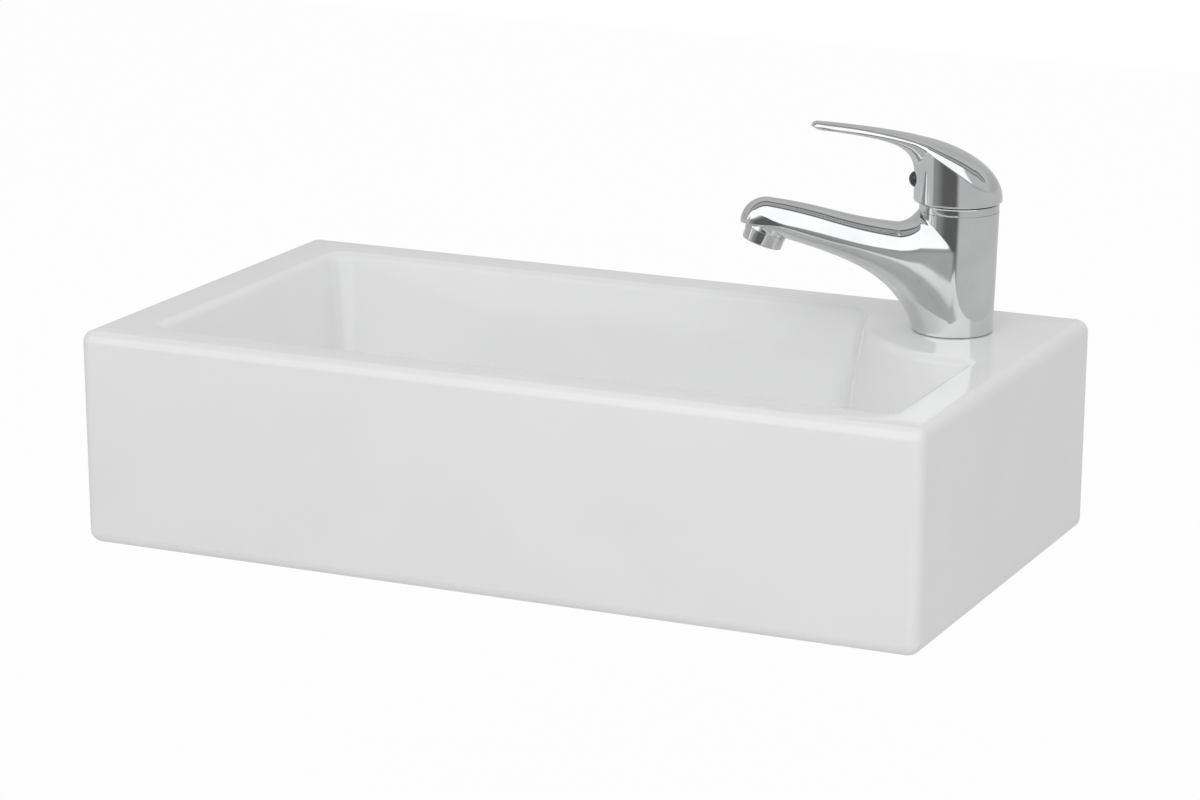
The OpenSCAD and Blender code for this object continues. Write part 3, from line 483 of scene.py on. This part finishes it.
def nose_at(degrees):
    """Point on the quarter oval from the spout's tip to its top."""
    a = math.radians(degrees)
    return (REACH + NOSE * math.cos(a), NOSE_Z + (TOP_H - NOSE_Z) * math.sin(a))


NOSE_PTS = [nose_at(a) for a in np.linspace(0, 90, 361)]
FRONT_PTS = np.array(curve(UNDER_CURVE) + [SEAT_OUT] + NOSE_PTS)
TOP_PTS = np.array([(-BODY_R, BODY_H)] + curve(ROOT_CURVE) + curve(TOP_CURVE)[1:] + NOSE_PTS[-2::-1])
FRONT_BY_Z = FRONT_PTS[:, ::-1]
UNDER_BY_U = FRONT_PTS[FRONT_PTS[:, 1] <= NOSE_Z]


def spout_half(u):
    """Half width of the spout where it is widest."""
    return mix(BODY_R, TIP_HALF, u / REACH)


def body_half(u, z):
    """Half width of the tap body at u along the spout and height z."""
    if u <= 0:
        return math.sqrt(max(BODY_R ** 2 - u * u, 0))
    front, w = lookup(z, FRONT_BY_Z), spout_half(u)
    power = 2 * front / spout_half(front)      # makes the front as round as a circle of that half width
    low = w * math.sqrt(1 - (u / front) ** power) if u < front else 0
    z_top = lookup(u, TOP_PTS)
    crown = SPOUT_CROWN + (z_top - SPOUT_ROOT_H if u < TOP_FROM[0] else 0)
    high = w * math.sqrt(1 - clamp((z - z_top + crown) / crown) ** 2)
    round_body = math.sqrt(BODY_R ** 2 - u * u) if BODY_R > u else 0
    return min(max(low, round_body), max(round_body, high))


def heights(lo, hi, m):
    """Heights from lo to hi, closer together towards both ends."""
    return [mix(lo, hi, (1 - math.cos(math.pi * k / m)) / 2) for k in range(m + 1)]


def slice_at(u, z, half):
    """Upright closed outline across the tap at u, through the heights z."""
    least = 0.02
    right = [(u, 0 if h in (z[0], z[-1]) else max(half(u, h), least), h) for h in z]
    left = [(u, -p[1], p[2]) for p in right[-2:0:-1]]
    return right + left


def fan(r, first):
    """Places of slices through a form of radius r, from this many degrees off its back to its front."""
    step, last = 2.5, 89.4
    back = [-r * math.cos(math.radians(a)) for a in np.arange(first, 90, step)]
    return back + [r * math.sin(math.radians(a)) for a in (*np.arange(0, 88, step), last)]


def loft(rings):
    """Closed solid through a row of rings."""
    bm = bmesh.new()
    rows = skin(bm, rings)
    bm.faces.new(rows[0])
    bm.faces.new(rows[-1])
    bmesh.ops.remove_doubles(bm, verts=bm.verts, dist=1e-5)
    return bm


def sliced_off(bm, z):
    """Cuts off what is below height z and closes the solid there."""
    geom = list(bm.verts) + list(bm.edges) + list(bm.faces)
    made = bmesh.ops.bisect_plane(bm, geom=geom, plane_co=(0, 0, z), plane_no=(0, 0, 1),
                                  clear_inner=True)
    fill(bm, [e for e in made["geom_cut"] if isinstance(e, bmesh.types.BMEdge)], (0, 0, 1))


def tap_body():
    rise_steps, tip_steps, finest = 80, 30, 0.001
    foot = BASE_GAP - 6     # the slices run on past both ends, which are cut off flat
    brim = 4
    spout = [BODY_R + finest] + [p[0] for p in curve(UNDER_CURVE, 120)[1:]]
    tip = [mix(SEAT_IN[0], SEAT_OUT[0], k / tip_steps) for k in range(1, tip_steps + 1)]
    end = [nose_at(a)[0] for a in np.arange(27, 2, -2.5)]

    def ring(u):
        top = lookup(u, TOP_PTS)
        z = heights(0 if u < BODY_R else lookup(u, UNDER_BY_U), top, rise_steps)
        if u < BODY_R:
            z = [foot, *z[1:-2], top + brim / 2, top + brim]
        return [(p[0] + BODY_LEAN * (1 - p[2] / BODY_H), p[1], p[2]) for p in slice_at(u, z, body_half)]

    bm = loft([ring(u) for u in fan(BODY_R, 1) + spout + tip + end])
    sliced_off(bm, BASE_GAP)
    obj = make_object("tap_shell", bm, AT_TAP)
    cut(obj, [rod("seat", AT_AERATOR, SOCKET_R, 0, TIP_T / 2, ROUND_STEPS)], "UNION")
    washer_t, well_over, well_in = 1.6, 3, 3
    nut_over, nut_under, spare, loose = 1.8, 2.5, 0.1, 0.3
    stud_place = AT_TAP @ Matrix.Translation((STUD_U, 0, 0))
    hot_place = AT_TAP @ Matrix.Translation((INLET_U, -INLET_SIDE, 0))
    cold_place = AT_TAP @ Matrix.Translation((INLET_U, INLET_SIDE, 0))
    cut(obj, [
        rod("brim_cut", AT_TAP, BODY_R + brim, BODY_H, BODY_H + 2 * brim),
        gasket_ring("gasket_cut", spare),
        rod("chamber_cut", AT_TAP, CARTRIDGE_R + spare, CHAMBER_H, BODY_H + 1),
        rod("nut_cut", AT_TAP, CARTRIDGE_R + nut_over, PIVOT_H - nut_under, BODY_H + 1),
        rod("stud_cut", stud_place, STUD_BORE_R, 0, STUD_BORE_H, BORE_STEPS),
        rod("hot_cut", hot_place, INLET_R, 0, INLET_H, BORE_STEPS),
        rod("cold_cut", cold_place, INLET_R, 0, INLET_H, BORE_STEPS),
        rod("socket_cut", AT_AERATOR, AERATOR_THREAD_R, -2, AERATOR_THREAD + washer_t + loose),
        rod("well_cut", AT_AERATOR, AERATOR_THREAD_R - well_in, 0, AERATOR_THREAD + washer_t + well_over),
    ])
    smooth(obj, 40)
    return obj


# Handle: points (u, z) on its section along the lever, whose shares come from the photograph
HUB_BACK = HUB_SHIFT - HUB_R
LEVER_END = LEVER_REACH - 3
LEVER_RISE = LEVER_H - HUB_H
LEVER_TOP = [
    (HUB_BACK, HUB_H + 2), (HUB_BACK + 1.5, HUB_H + 0.58 * LEVER_RISE),
    (mix(-HUB_R, LEVER_REACH, 0.37), HUB_H + 0.876 * LEVER_RISE), (LEVER_END, LEVER_H + 0.3)
]
LEVER_UNDER = [
    (HUB_FRONT, HUB_H + HUB_FRONT_H), (HUB_FRONT, HUB_H + 2.2 * HUB_FRONT_H),
    (mix(HUB_R, LEVER_REACH, 0.3), HUB_H + 0.797 * LEVER_RISE), (LEVER_END, LEVER_H - LEVER_T)
]
HANDLE_TOP = np.array(
    [(HUB_BACK - 1, HUB_H + 1)] + curve(LEVER_TOP)
    + [(LEVER_REACH - 1, LEVER_H - 0.3), (LEVER_REACH, LEVER_H - LEVER_T / 2)]
)
HANDLE_UNDER = np.array(curve(LEVER_UNDER) + [(LEVER_REACH, LEVER_H - LEVER_T / 2 - 0.2)])
HANDLE_FRONT = HANDLE_UNDER[:, ::-1]


def lever_half_at(u):
    """Half width of the lever at u, seen from above."""
    taper = 2.4
    return LEVER_HALF + (HUB_R - LEVER_HALF) * clamp(1 - u / LEVER_END) ** taper


def handle_half(u, z):
    """Half width of the handle at u along the lever and height z."""
    x = u - HUB_SHIFT
    hub = math.sqrt(HUB_R ** 2 - x * x) if abs(x) < HUB_R else 0
    front, w = lookup(z, HANDLE_FRONT), lever_half_at(max(u, 0))
    power = 2 * front / lever_half_at(front)
    arm = w * math.sqrt(1 - (u / front) ** power) if 0 < u < front else 0
    crown = mix(HUB_CROWN, LEVER_CROWN, clamp((u + HUB_R / 4) / (1.3 * HUB_R)))
    depth = clamp((lookup(u, HANDLE_TOP) - z) / crown)
    return max(hub, arm) * (1 - (1 - depth) ** 2) ** (1 / 3)


def handle():
    rise_steps, low_steps, finest = 72, 24, 0.001
    foot, brow = HUB_H - 6, LEVER_UNDER[0][1]      # the slices start below the hub's foot
    hub = [HUB_SHIFT + u for u in fan(HUB_R, 1.5)]
    arm = [HUB_FRONT + finest] + [p[0] for p in curve(LEVER_UNDER, 140)[4:]]
    tip = [LEVER_REACH - d for d in (2.4, 1.8, 1.2, 0.8, 0.5, 0.2)]

    def ring(u):
        top = lookup(u, HANDLE_TOP)
        if u < HUB_FRONT:
            knee = min(brow, mix(foot, top, 0.5))
            lower = [mix(foot, knee, k / low_steps) for k in range(low_steps)]
            return slice_at(u, lower + heights(knee, top, rise_steps), handle_half)
        under = lookup(u, HANDLE_UNDER)
        return slice_at(u, [under] * low_steps + heights(under, top, rise_steps), handle_half)

    bm = loft([ring(u) for u in hub + arm + tip])
    sliced_off(bm, HUB_H)
    obj = make_object("lever_handle", bm, AT_TAP)
    # hollow of the hub, round the bosses of the stem and the button
    skirt, cavity_h = HUB_R - 2.3, 17.5
    cavity = make_object("cavity_cut", lathe([
        (0, HUB_H - 1), (skirt, HUB_H - 1), (skirt, HUB_H + cavity_h / 5),
        (0.8 * skirt, HUB_H + 0.6 * cavity_h), (0.43 * skirt, HUB_H + cavity_h), (0, HUB_H + cavity_h),
    ]), AT_TAP)
    stem_boss_r, stem_boss_from, stem_boss_to, button_wall = 8.2, 14, 41, 1.5
    button_place = AT_TAP @ Matrix.Translation((0, 0, BUTTON_H)) @ ALONG_X
    cut(cavity, [
        rod("boss_cut", AT_STEM, stem_boss_r, stem_boss_from, stem_boss_to),
        rod("button_boss_cut", button_place, BUTTON_R + button_wall, 0, HUB_R),
    ])
    edge = 1.5
    corner = [(HUB_R + 1, HUB_H - 1), (HUB_R + 1, HUB_H + edge)]
    corner += arc((HUB_R - edge, HUB_H + edge), edge, 0, -90, 12) + [(HUB_R - edge, HUB_H - 1)]
    rounding = make_object("edge_cut", lathe(corner, ROUND_STEPS),
                           AT_TAP @ Matrix.Translation((HUB_SHIFT, 0, 0)))
    socket_half, socket_h, grub_r, spare = 4.1, 27.5, 2.5, 0.1
    cut(obj, [
        cavity, rounding,
        block("stem_cut", AT_STEM, (-socket_half, -socket_half, 0), (socket_half, socket_half, socket_h)),
        rod("grub_cut", button_place, grub_r, 0, HUB_R, BORE_STEPS),
        rod("button_cut", button_place, BUTTON_R + spare, HUB_FRONT - BUTTON_IN - 1, HUB_FRONT + 1),
    ])
    smooth(obj, 40)
    return obj


# Small pieces of the tap and the waste
def trim_ring():
    r, round_r, groove = BODY_R - 0.1, 1.2, 0.25
    profile = [(RING_IN, BODY_H), (r - groove, BODY_H)]
    profile += arc((r - groove, BODY_H + groove), groove, -90, 0, 4)
    profile += arc((r - round_r, BODY_H + RING_H - round_r), round_r, 0, 90, 10)
    profile += [(RING_IN, BODY_H + RING_H)]
    obj = make_object("mixer_trim_ring", lathe(profile, ROUND_STEPS), AT_TAP)
    smooth(obj)
    return obj


def gasket_ring(name, spare):
    """The gasket below the foot, or the recess for it, which is larger by spare."""
    inner, outer = GASKET_R - GASKET_WIDTH - spare, GASKET_R + spare
    profile = [(inner, -spare), (outer, -spare), (outer, GASKET_T), (inner, GASKET_T)]
    return make_object(name, lathe(profile, ROUND_STEPS),
                       AT_TAP @ Matrix.Translation((BODY_LEAN, 0, 0)))


def base_gasket():
    obj = gasket_ring("foot_gasket", 0)
    smooth(obj)
    return obj


def domed(r, depth, h, edge):
    """Section of a disc with a small rounded edge under a spherical cap."""
    ball = (r * r + h * h) / (2 * h)
    spread = math.degrees(math.asin((r - edge) / ball))
    points = [(0, -depth), (r - edge / 2, -depth), (r, -depth + edge / 2), (r, -edge)]
    cap = arc((0, h - ball), ball, 90 - spread, 90, 24)
    points += arc((r - edge, -edge), edge, 0, 55, 4)
    return points + cap[1:-1] + [(0, h)]


def index_button():
    edge, steps = 0.3, 64
    obj = make_object("index_lens", lathe(domed(BUTTON_R, BUTTON_IN, BUTTON_OUT, edge), steps),
                      AT_TAP @ Matrix.Translation((HUB_FRONT, 0, BUTTON_H)) @ ALONG_X)
    smooth(obj)
    return obj


def plug_cap():
    edge = 0.6
    obj = make_object("plug_dome", lathe(domed(PLUG_R, PLUG_RIM, PLUG_CROWN, edge), FINE_STEPS),
                      AT_FLOOR @ Matrix.Translation((0, 0, PLUG_RIM - PLUG_SUNK)))
    smooth(obj)
    return obj


def waste_body():
    """Flange and tube with ribs for its thread, from the tube's lower end up the outside and back."""
    mouth_r, neck_r, thread_top = PLUG_R + 1.5, WASTE_R - 0.75, -26.7
    pitch, root, flange_edge, mouth_edge = 2.31, WASTE_R - 1, 1.2, 0.5
    profile = [(TUBE_IN, -WASTE_L), (root, -WASTE_L)]
    turns = int((thread_top + WASTE_L - 2) / pitch)
    for k in range(turns):
        z = -WASTE_L + 1 + k * pitch
        profile += [(root, z), (WASTE_R, z + 0.45 * pitch), (WASTE_R, z + 0.6 * pitch)]
    profile += [(WASTE_R - 0.9, thread_top), (neck_r, thread_top), (neck_r, -FLANGE_T),
                (FLANGE_R, -FLANGE_T)]
    profile += arc((FLANGE_R - flange_edge, -flange_edge), flange_edge, 0, 90, 8)
    profile += arc((mouth_r + mouth_edge, -mouth_edge), mouth_edge, 90, 180, 4)
    profile += [(TUBE_IN, -CONE_H)]
    obj = make_object("waste_flange_tube", lathe(profile, FINE_STEPS), AT_FLOOR)
    smooth(obj, 30)
    return obj


def aerator_shell():
    """Threaded shell with two flats for a spanner below its collar."""
    collar, flat, foot_r, bore_r = 2.4, AERATOR_R - 0.7, AERATOR_R - 0.4, AERATOR_THREAD_R - 1.6
    edge, thread_r = 0.6, AERATOR_THREAD_R - 0.1
    profile = [(bore_r, -AERATOR_H)]
    profile += arc((foot_r - edge, -AERATOR_H + edge), edge, -90, 0, 6)
    profile += [(AERATOR_R, -0.4), (AERATOR_R - 0.3, 0), (thread_r, 0),
                (thread_r, AERATOR_THREAD), (bore_r, AERATOR_THREAD)]
    obj = make_object("aerator_housing", lathe(profile, FINE_STEPS), AT_AERATOR)
    half, reach = 3, 20      # of the blocks that cut the flats
    cut(obj, [block("flat_cut", AT_AERATOR, (side * (flat + half) - half, -reach, -AERATOR_H - 1),
                    (side * (flat + half) + half, reach, -collar)) for side in (-1, 1)])
    smooth(obj, 30)
    return obj


# Materials
def nodes_of(name):
    """A new material, its node tree and its shader."""
    mat = bpy.data.materials.new(name)
    mat.use_nodes = True
    tree = mat.node_tree
    return mat, tree, tree.nodes["Principled BSDF"]


def noise(tree, scale, detail, distortion=0.0, stretch=None):
    """Noise over the object's own coordinates."""
    coords = tree.nodes.new("ShaderNodeTexCoord")
    source = coords.outputs["Object"]
    if stretch:
        mapping = tree.nodes.new("ShaderNodeMapping")
        mapping.inputs["Scale"].default_value = stretch
        tree.links.new(source, mapping.inputs["Vector"])
        source = mapping.outputs["Vector"]
    tex = tree.nodes.new("ShaderNodeTexNoise")
    tex.inputs["Scale"].default_value = scale
    tex.inputs["Detail"].default_value = detail
    tex.inputs["Distortion"].default_value = distortion
    tree.links.new(source, tex.inputs["Vector"])
    return tex.outputs["Fac"]


def ramp(tree, source, low, high, start=0.35, end=0.65):
    """Colours from low to high as source goes from start to end."""
    node = tree.nodes.new("ShaderNodeValToRGB")
    node.color_ramp.elements[0].position = start
    node.color_ramp.elements[1].position = end
    node.color_ramp.elements[0].color = (*low, 1)
    node.color_ramp.elements[1].color = (*high, 1)
    tree.links.new(source, node.inputs["Fac"])
    return node.outputs["Color"]


def ranged(tree, source, low, high, start=0.3, end=0.7):
    """Values from low to high as source goes from start to end."""
    node = tree.nodes.new("ShaderNodeMapRange")
    node.inputs["From Min"].default_value = start
    node.inputs["From Max"].default_value = end
    node.inputs["To Min"].default_value = low
    node.inputs["To Max"].default_value = high
    tree.links.new(source, node.inputs["Value"])
    return node.outputs["Result"]


def bump(tree, source, strength, distance):
    """Normal of a relief of this depth in metres."""
    node = tree.nodes.new("ShaderNodeBump")
    node.inputs["Strength"].default_value = strength
    node.inputs["Distance"].default_value = distance
    tree.links.new(source, node.inputs["Height"])
    return node.outputs["Normal"]


def surface(name, low, high, scale, rough, rough_scale, relief, relief_scale, metallic=0.0,
            stretch=None, **constants):
    """Material with noise in its colour, roughness and relief, which is in millimetres.

    The scales of the noise are per metre. Constants go straight onto the shader.
    """
    mat, tree, shader = nodes_of(name)
    shader.inputs["Metallic"].default_value = metallic
    for key, value in constants.items():
        shader.inputs[key.replace("_", " ")].default_value = value
    colour = ramp(tree, noise(tree, scale, 4, 0.0, stretch), low, high)
    roughness = ranged(tree, noise(tree, rough_scale, 3, 0.4, stretch), *rough)
    height = noise(tree, relief_scale, 2, 0.0, stretch)
    tree.links.new(colour, shader.inputs["Base Color"])
    tree.links.new(roughness, shader.inputs["Roughness"])
    tree.links.new(bump(tree, height, 0.5, relief * MM), shader.inputs["Normal"])
    return mat


# By the record's slots, and two finishes more: bare for the basin's hidden sides, and a pale grey rubber
# for the gasket under the tap's foot, whose pale tone is a painted highlight in the gap there
MATERIALS = {
    "ceramic": surface("glaze", (0.86, 0.866, 0.862), (0.88, 0.886, 0.882), 14, (0.09, 0.13), 30,
                       0.02, 55, IOR=1.52),
    "bare": surface("bare_ceramic", (0.60, 0.59, 0.565), (0.66, 0.65, 0.625), 60, (0.6, 0.75), 90,
                    0.12, 700),
    "chrome": surface("chrome_plate", (0.66, 0.666, 0.672), (0.73, 0.736, 0.742), 40, (0.03, 0.075), 60,
                      0.004, 90, metallic=1.0),
    "chrome_trim": surface("chrome_trim", (0.61, 0.616, 0.622), (0.68, 0.686, 0.692), 60, (0.05, 0.10), 90,
                           0.004, 120, metallic=1.0),
    "lens": surface("grey_lens", (0.030, 0.031, 0.034), (0.045, 0.046, 0.05), 220, (0.12, 0.2), 160,
                    0.01, 300),
    "rubber": surface("rubber", (0.022, 0.022, 0.023), (0.035, 0.035, 0.036), 160, (0.55, 0.75), 240,
                      0.05, 900),
    # Gasket rubber made pale grey: a painted highlight along the gap under the tap's foot, on a real
    # rubber gasket
    "rubber_painted_highlight": surface("rubber_painted_highlight", (0.32, 0.32, 0.315), (0.40, 0.40, 0.395), 160, (0.5, 0.7), 240,
                           0.05, 900),
    "steel": surface("steel", (0.46, 0.465, 0.47), (0.56, 0.565, 0.57), 120, (0.24, 0.4), 300, 0.02, 600,
                     metallic=1.0, stretch=(1, 1, 6)),
    "brass": surface("brass", (0.52, 0.36, 0.13), (0.64, 0.47, 0.20), 90, (0.2, 0.34), 260, 0.02, 500,
                     metallic=1.0, stretch=(1, 1, 5)),
    "white_plastic": surface("white_plastic", (0.66, 0.66, 0.64), (0.72, 0.72, 0.70), 70, (0.35, 0.5), 200,
                             0.02, 500),
    "grey_plastic": surface("grey_plastic", (0.035, 0.037, 0.042), (0.055, 0.058, 0.064), 90, (0.35, 0.5),
                            220, 0.03, 700),
    "disc": surface("technical_ceramic", (0.66, 0.65, 0.61), (0.72, 0.71, 0.67), 80, (0.25, 0.35), 260,
                    0.01, 400),
}
# The nodes that a piece stands for, with what builds it and its finish
REPLACED = {
    "basin": (basin, "ceramic"),
    "tap_body": (tap_body, "chrome"),
    "handle": (handle, "chrome"),
    "trim_ring": (trim_ring, "chrome_trim"),
    # the gasket's pale grey rubber is a painted highlight in the gap under the foot
    "base_gasket": (base_gasket, "rubber_painted_highlight"),
    "index_button": (index_button, "lens"),
    "plug_cap": (plug_cap, "chrome"),
    "waste_body": (waste_body, "chrome"),
    "aerator_shell": (aerator_shell, "chrome"),
}


def dress():
    """Gives every node its finish, and builds the pieces that stand for some of them."""
    body_of = {n: body for body, group in frame["record"]["behaviour"]["bodies"].items() for n in group}
    slot_of = {s["node"]: s["material_slot"] for s in frame["record"]["subparts"]}
    for node, obj in frame["nodes"].items():
        obj.data.materials.clear()
        obj.data.materials.append(MATERIALS[slot_of[node]])
    for node, (build, finish) in REPLACED.items():
        piece = build()
        piece.data.materials.append(MATERIALS[finish])
        if node == "basin":
            piece.data.materials.append(MATERIALS["bare"])
        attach(piece, body_of[node])
        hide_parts(node)


# Studio
AMBIENT = 0.62       # strength of the soft light from all round
MIRRORED = 0.63      # what metal and glaze mirror where no patch lies
FRONT_WALL = 1.39    # what they mirror from the front, up to overhead
FLOOR_GLOW = 0.97    # share of plain white in the floor that the camera sees
# Soft-edged patches of other strengths in what they mirror, each laid over those before it: from where to
# where it goes sideways, in degrees to the right of the tap's side view, and upwards, in degrees from the
# horizon in front, up and over to the one behind; how soft its edges are both ways; and its strength.
PATCHES = [
    ((-200, 200), (145, 190), (1, 10), 0.54),
    ((-200, 200), (-8, 5), (1, 3), 0.49),
    ((-95, 44), (4, 84), (3, 3), FRONT_WALL),
    ((-95, 70), (85, 93), (3, 1.5), 0.17),
    ((-95, 70), (93, 112), (3, 2), 0.46),
    ((-95, 70), (113, 120), (3, 2), 0.12),
    ((-68, -6), (-70, -2), (6, 4), 0.14),
    ((-76, -52), (-70, -2), (14, 4), 0.34),
    ((-84, -70), (-70, 30), (2, 4), 0.63),
    ((-200, -88), (-70, 40), (2, 4), 0.20),
]


def arithmetic(tree, operation, a, b=None):
    """Math node on sockets or numbers."""
    node = tree.nodes.new("ShaderNodeMath")
    node.operation = operation
    for socket, value in zip(node.inputs, (a, b)):
        if isinstance(value, (int, float)):
            socket.default_value = value
        elif value is not None:
            tree.links.new(value, socket)
    return node.outputs[0]


def ray(tree, *kinds):
    """1 for rays of these kinds, and 0 for others."""
    path = tree.nodes.new("ShaderNodeLightPath")
    value = path.outputs[f"Is {kinds[0]} Ray"]
    for kind in kinds[1:]:
        value = arithmetic(tree, "MAXIMUM", value, path.outputs[f"Is {kind} Ray"])
    return value


def blended(tree, below, above, share):
    """Goes from below to above as share goes from 0 to 1."""
    step = arithmetic(tree, "SUBTRACT", above, below)
    return arithmetic(tree, "ADD", below, arithmetic(tree, "MULTIPLY", share, step))


def rising(tree, source, at, soft):
    """0 below at and 1 above it, with a soft step."""
    node = tree.nodes.new("ShaderNodeMapRange")
    node.interpolation_type = "SMOOTHSTEP"
    node.inputs["From Min"].default_value = at - soft
    node.inputs["From Max"].default_value = at + soft
    tree.links.new(source, node.inputs["Value"])
    return node.outputs["Result"]


def surroundings(tree):
    """Strength of the light that metal and glaze mirror, by the direction it comes from."""
    coords = tree.nodes.new("ShaderNodeTexCoord")
    turned = tree.nodes.new("ShaderNodeMapping")
    turned.vector_type = "VECTOR"
    turned.inputs["Rotation"].default_value = (0, 0, -SPOUT_TURN)
    tree.links.new(coords.outputs["Generated"], turned.inputs["Vector"])
    axes = tree.nodes.new("ShaderNodeSeparateXYZ")
    tree.links.new(turned.outputs["Vector"], axes.inputs["Vector"])
    x, y, z = axes.outputs
    side = arithmetic(tree, "DEGREES", arithmetic(tree, "ARCSINE", x))
    tilt = arithmetic(tree, "DEGREES", arithmetic(tree, "ARCTAN2", z, arithmetic(tree, "MULTIPLY", y, -1)))
    glow = MIRRORED
    for sides, tilts, soft, strength in PATCHES:
        share = 1.0
        for source, (low, high), edge in zip((side, tilt), (sides, tilts), soft):
            inside = arithmetic(tree, "SUBTRACT", rising(tree, source, low, edge),
                                rising(tree, source, high, edge))
            share = arithmetic(tree, "MULTIPLY", inside, share)
        glow = blended(tree, glow, strength, share)
    return glow


def pale(name):
    """Pale floor that comes out nearly white to the camera and keeps a trace of the shadow."""
    mat, tree, shader = nodes_of(name)
    shader.inputs["Roughness"].default_value = 0.9
    tree.links.new(ramp(tree, noise(tree, 2, 2), (0.84,) * 3, (0.86,) * 3), shader.inputs["Base Color"])
    glow = tree.nodes.new("ShaderNodeEmission")
    glow.inputs["Strength"].default_value = 1
    share = arithmetic(tree, "MULTIPLY", ray(tree, "Camera", "Glossy", "Transmission"), FLOOR_GLOW)
    both = tree.nodes.new("ShaderNodeMixShader")
    tree.links.new(share, both.inputs["Fac"])
    tree.links.new(shader.outputs[0], both.inputs[1])
    tree.links.new(glow.outputs[0], both.inputs[2])
    tree.links.new(both.outputs[0], tree.nodes["Material Output"].inputs["Surface"])
    return mat


def floor():
    half, middle = 3000, (0, -137, -300)
    bm = bmesh.new()
    bmesh.ops.create_grid(bm, x_segments=8, y_segments=8, size=half)
    obj = make_object("floor", bm, Matrix.Translation(middle))
    obj.data.materials.append(pale("pale_floor"))
    obj.visible_glossy = False


def world():
    """Soft even light, the surroundings that are mirrored, and white where the camera looks past all."""
    scene_world = bpy.data.worlds.new("studio")
    bpy.context.scene.world = scene_world
    scene_world.use_nodes = True
    tree = scene_world.node_tree
    tree.nodes.clear()
    light = tree.nodes.new("ShaderNodeBackground")
    light.inputs["Color"].default_value = (1, 1, 1, 1)
    strength = blended(tree, AMBIENT, surroundings(tree), ray(tree, "Glossy"))
    strength = blended(tree, strength, 1.0, ray(tree, "Camera", "Transmission"))
    tree.links.new(strength, light.inputs["Strength"])
    out = tree.nodes.new("ShaderNodeOutputWorld")
    tree.links.new(light.outputs[0], out.inputs["Surface"])


def lamp(name, place, target, size, watts):
    """Rectangular soft light, in metres, that metal and glaze don't mirror."""
    data = bpy.data.lights.new(name, "AREA")
    data.shape = "RECTANGLE"
    data.size, data.size_y = size
    data.energy = watts
    obj = bpy.data.objects.new(name, data)
    obj.location = place
    obj.rotation_euler = (Vector(target) - Vector(place)).to_track_quat("-Z", "Y").to_euler()
    obj.visible_glossy = False
    bpy.context.scene.collection.objects.link(obj)


def lamps():
    middle = (0, -0.13, 0.03)
    lamp("key", (0.4, -1.55, 1.15), middle, (1.6, 1.0), 10)
    lamp("back", (0.3, 1.0, 1.3), middle, (1.4, 0.8), 3)


def camera():
    """The photograph's camera, as fitted to the basin's straight edges."""
    place, target, roll_degrees = (0.94029, -2.17924, 0.61187), (0.0068, -0.1375, 0.0296), 0.25
    data = bpy.data.cameras.new("photo")
    data.lens, data.sensor_width = 123.6, 36
    obj = bpy.data.objects.new("photo", data)
    obj.location = place
    direction = Vector(target) - obj.location
    roll = Matrix.Rotation(math.radians(roll_degrees), 4, "Z")
    obj.rotation_euler = (direction.to_track_quat("-Z", "Y").to_matrix().to_4x4() @ roll).to_euler()
    bpy.context.scene.collection.objects.link(obj)
    bpy.context.scene.camera = obj


camera()
dress()
floor()
world()
lamps()
bpy.context.scene.view_settings.view_transform = "Standard"
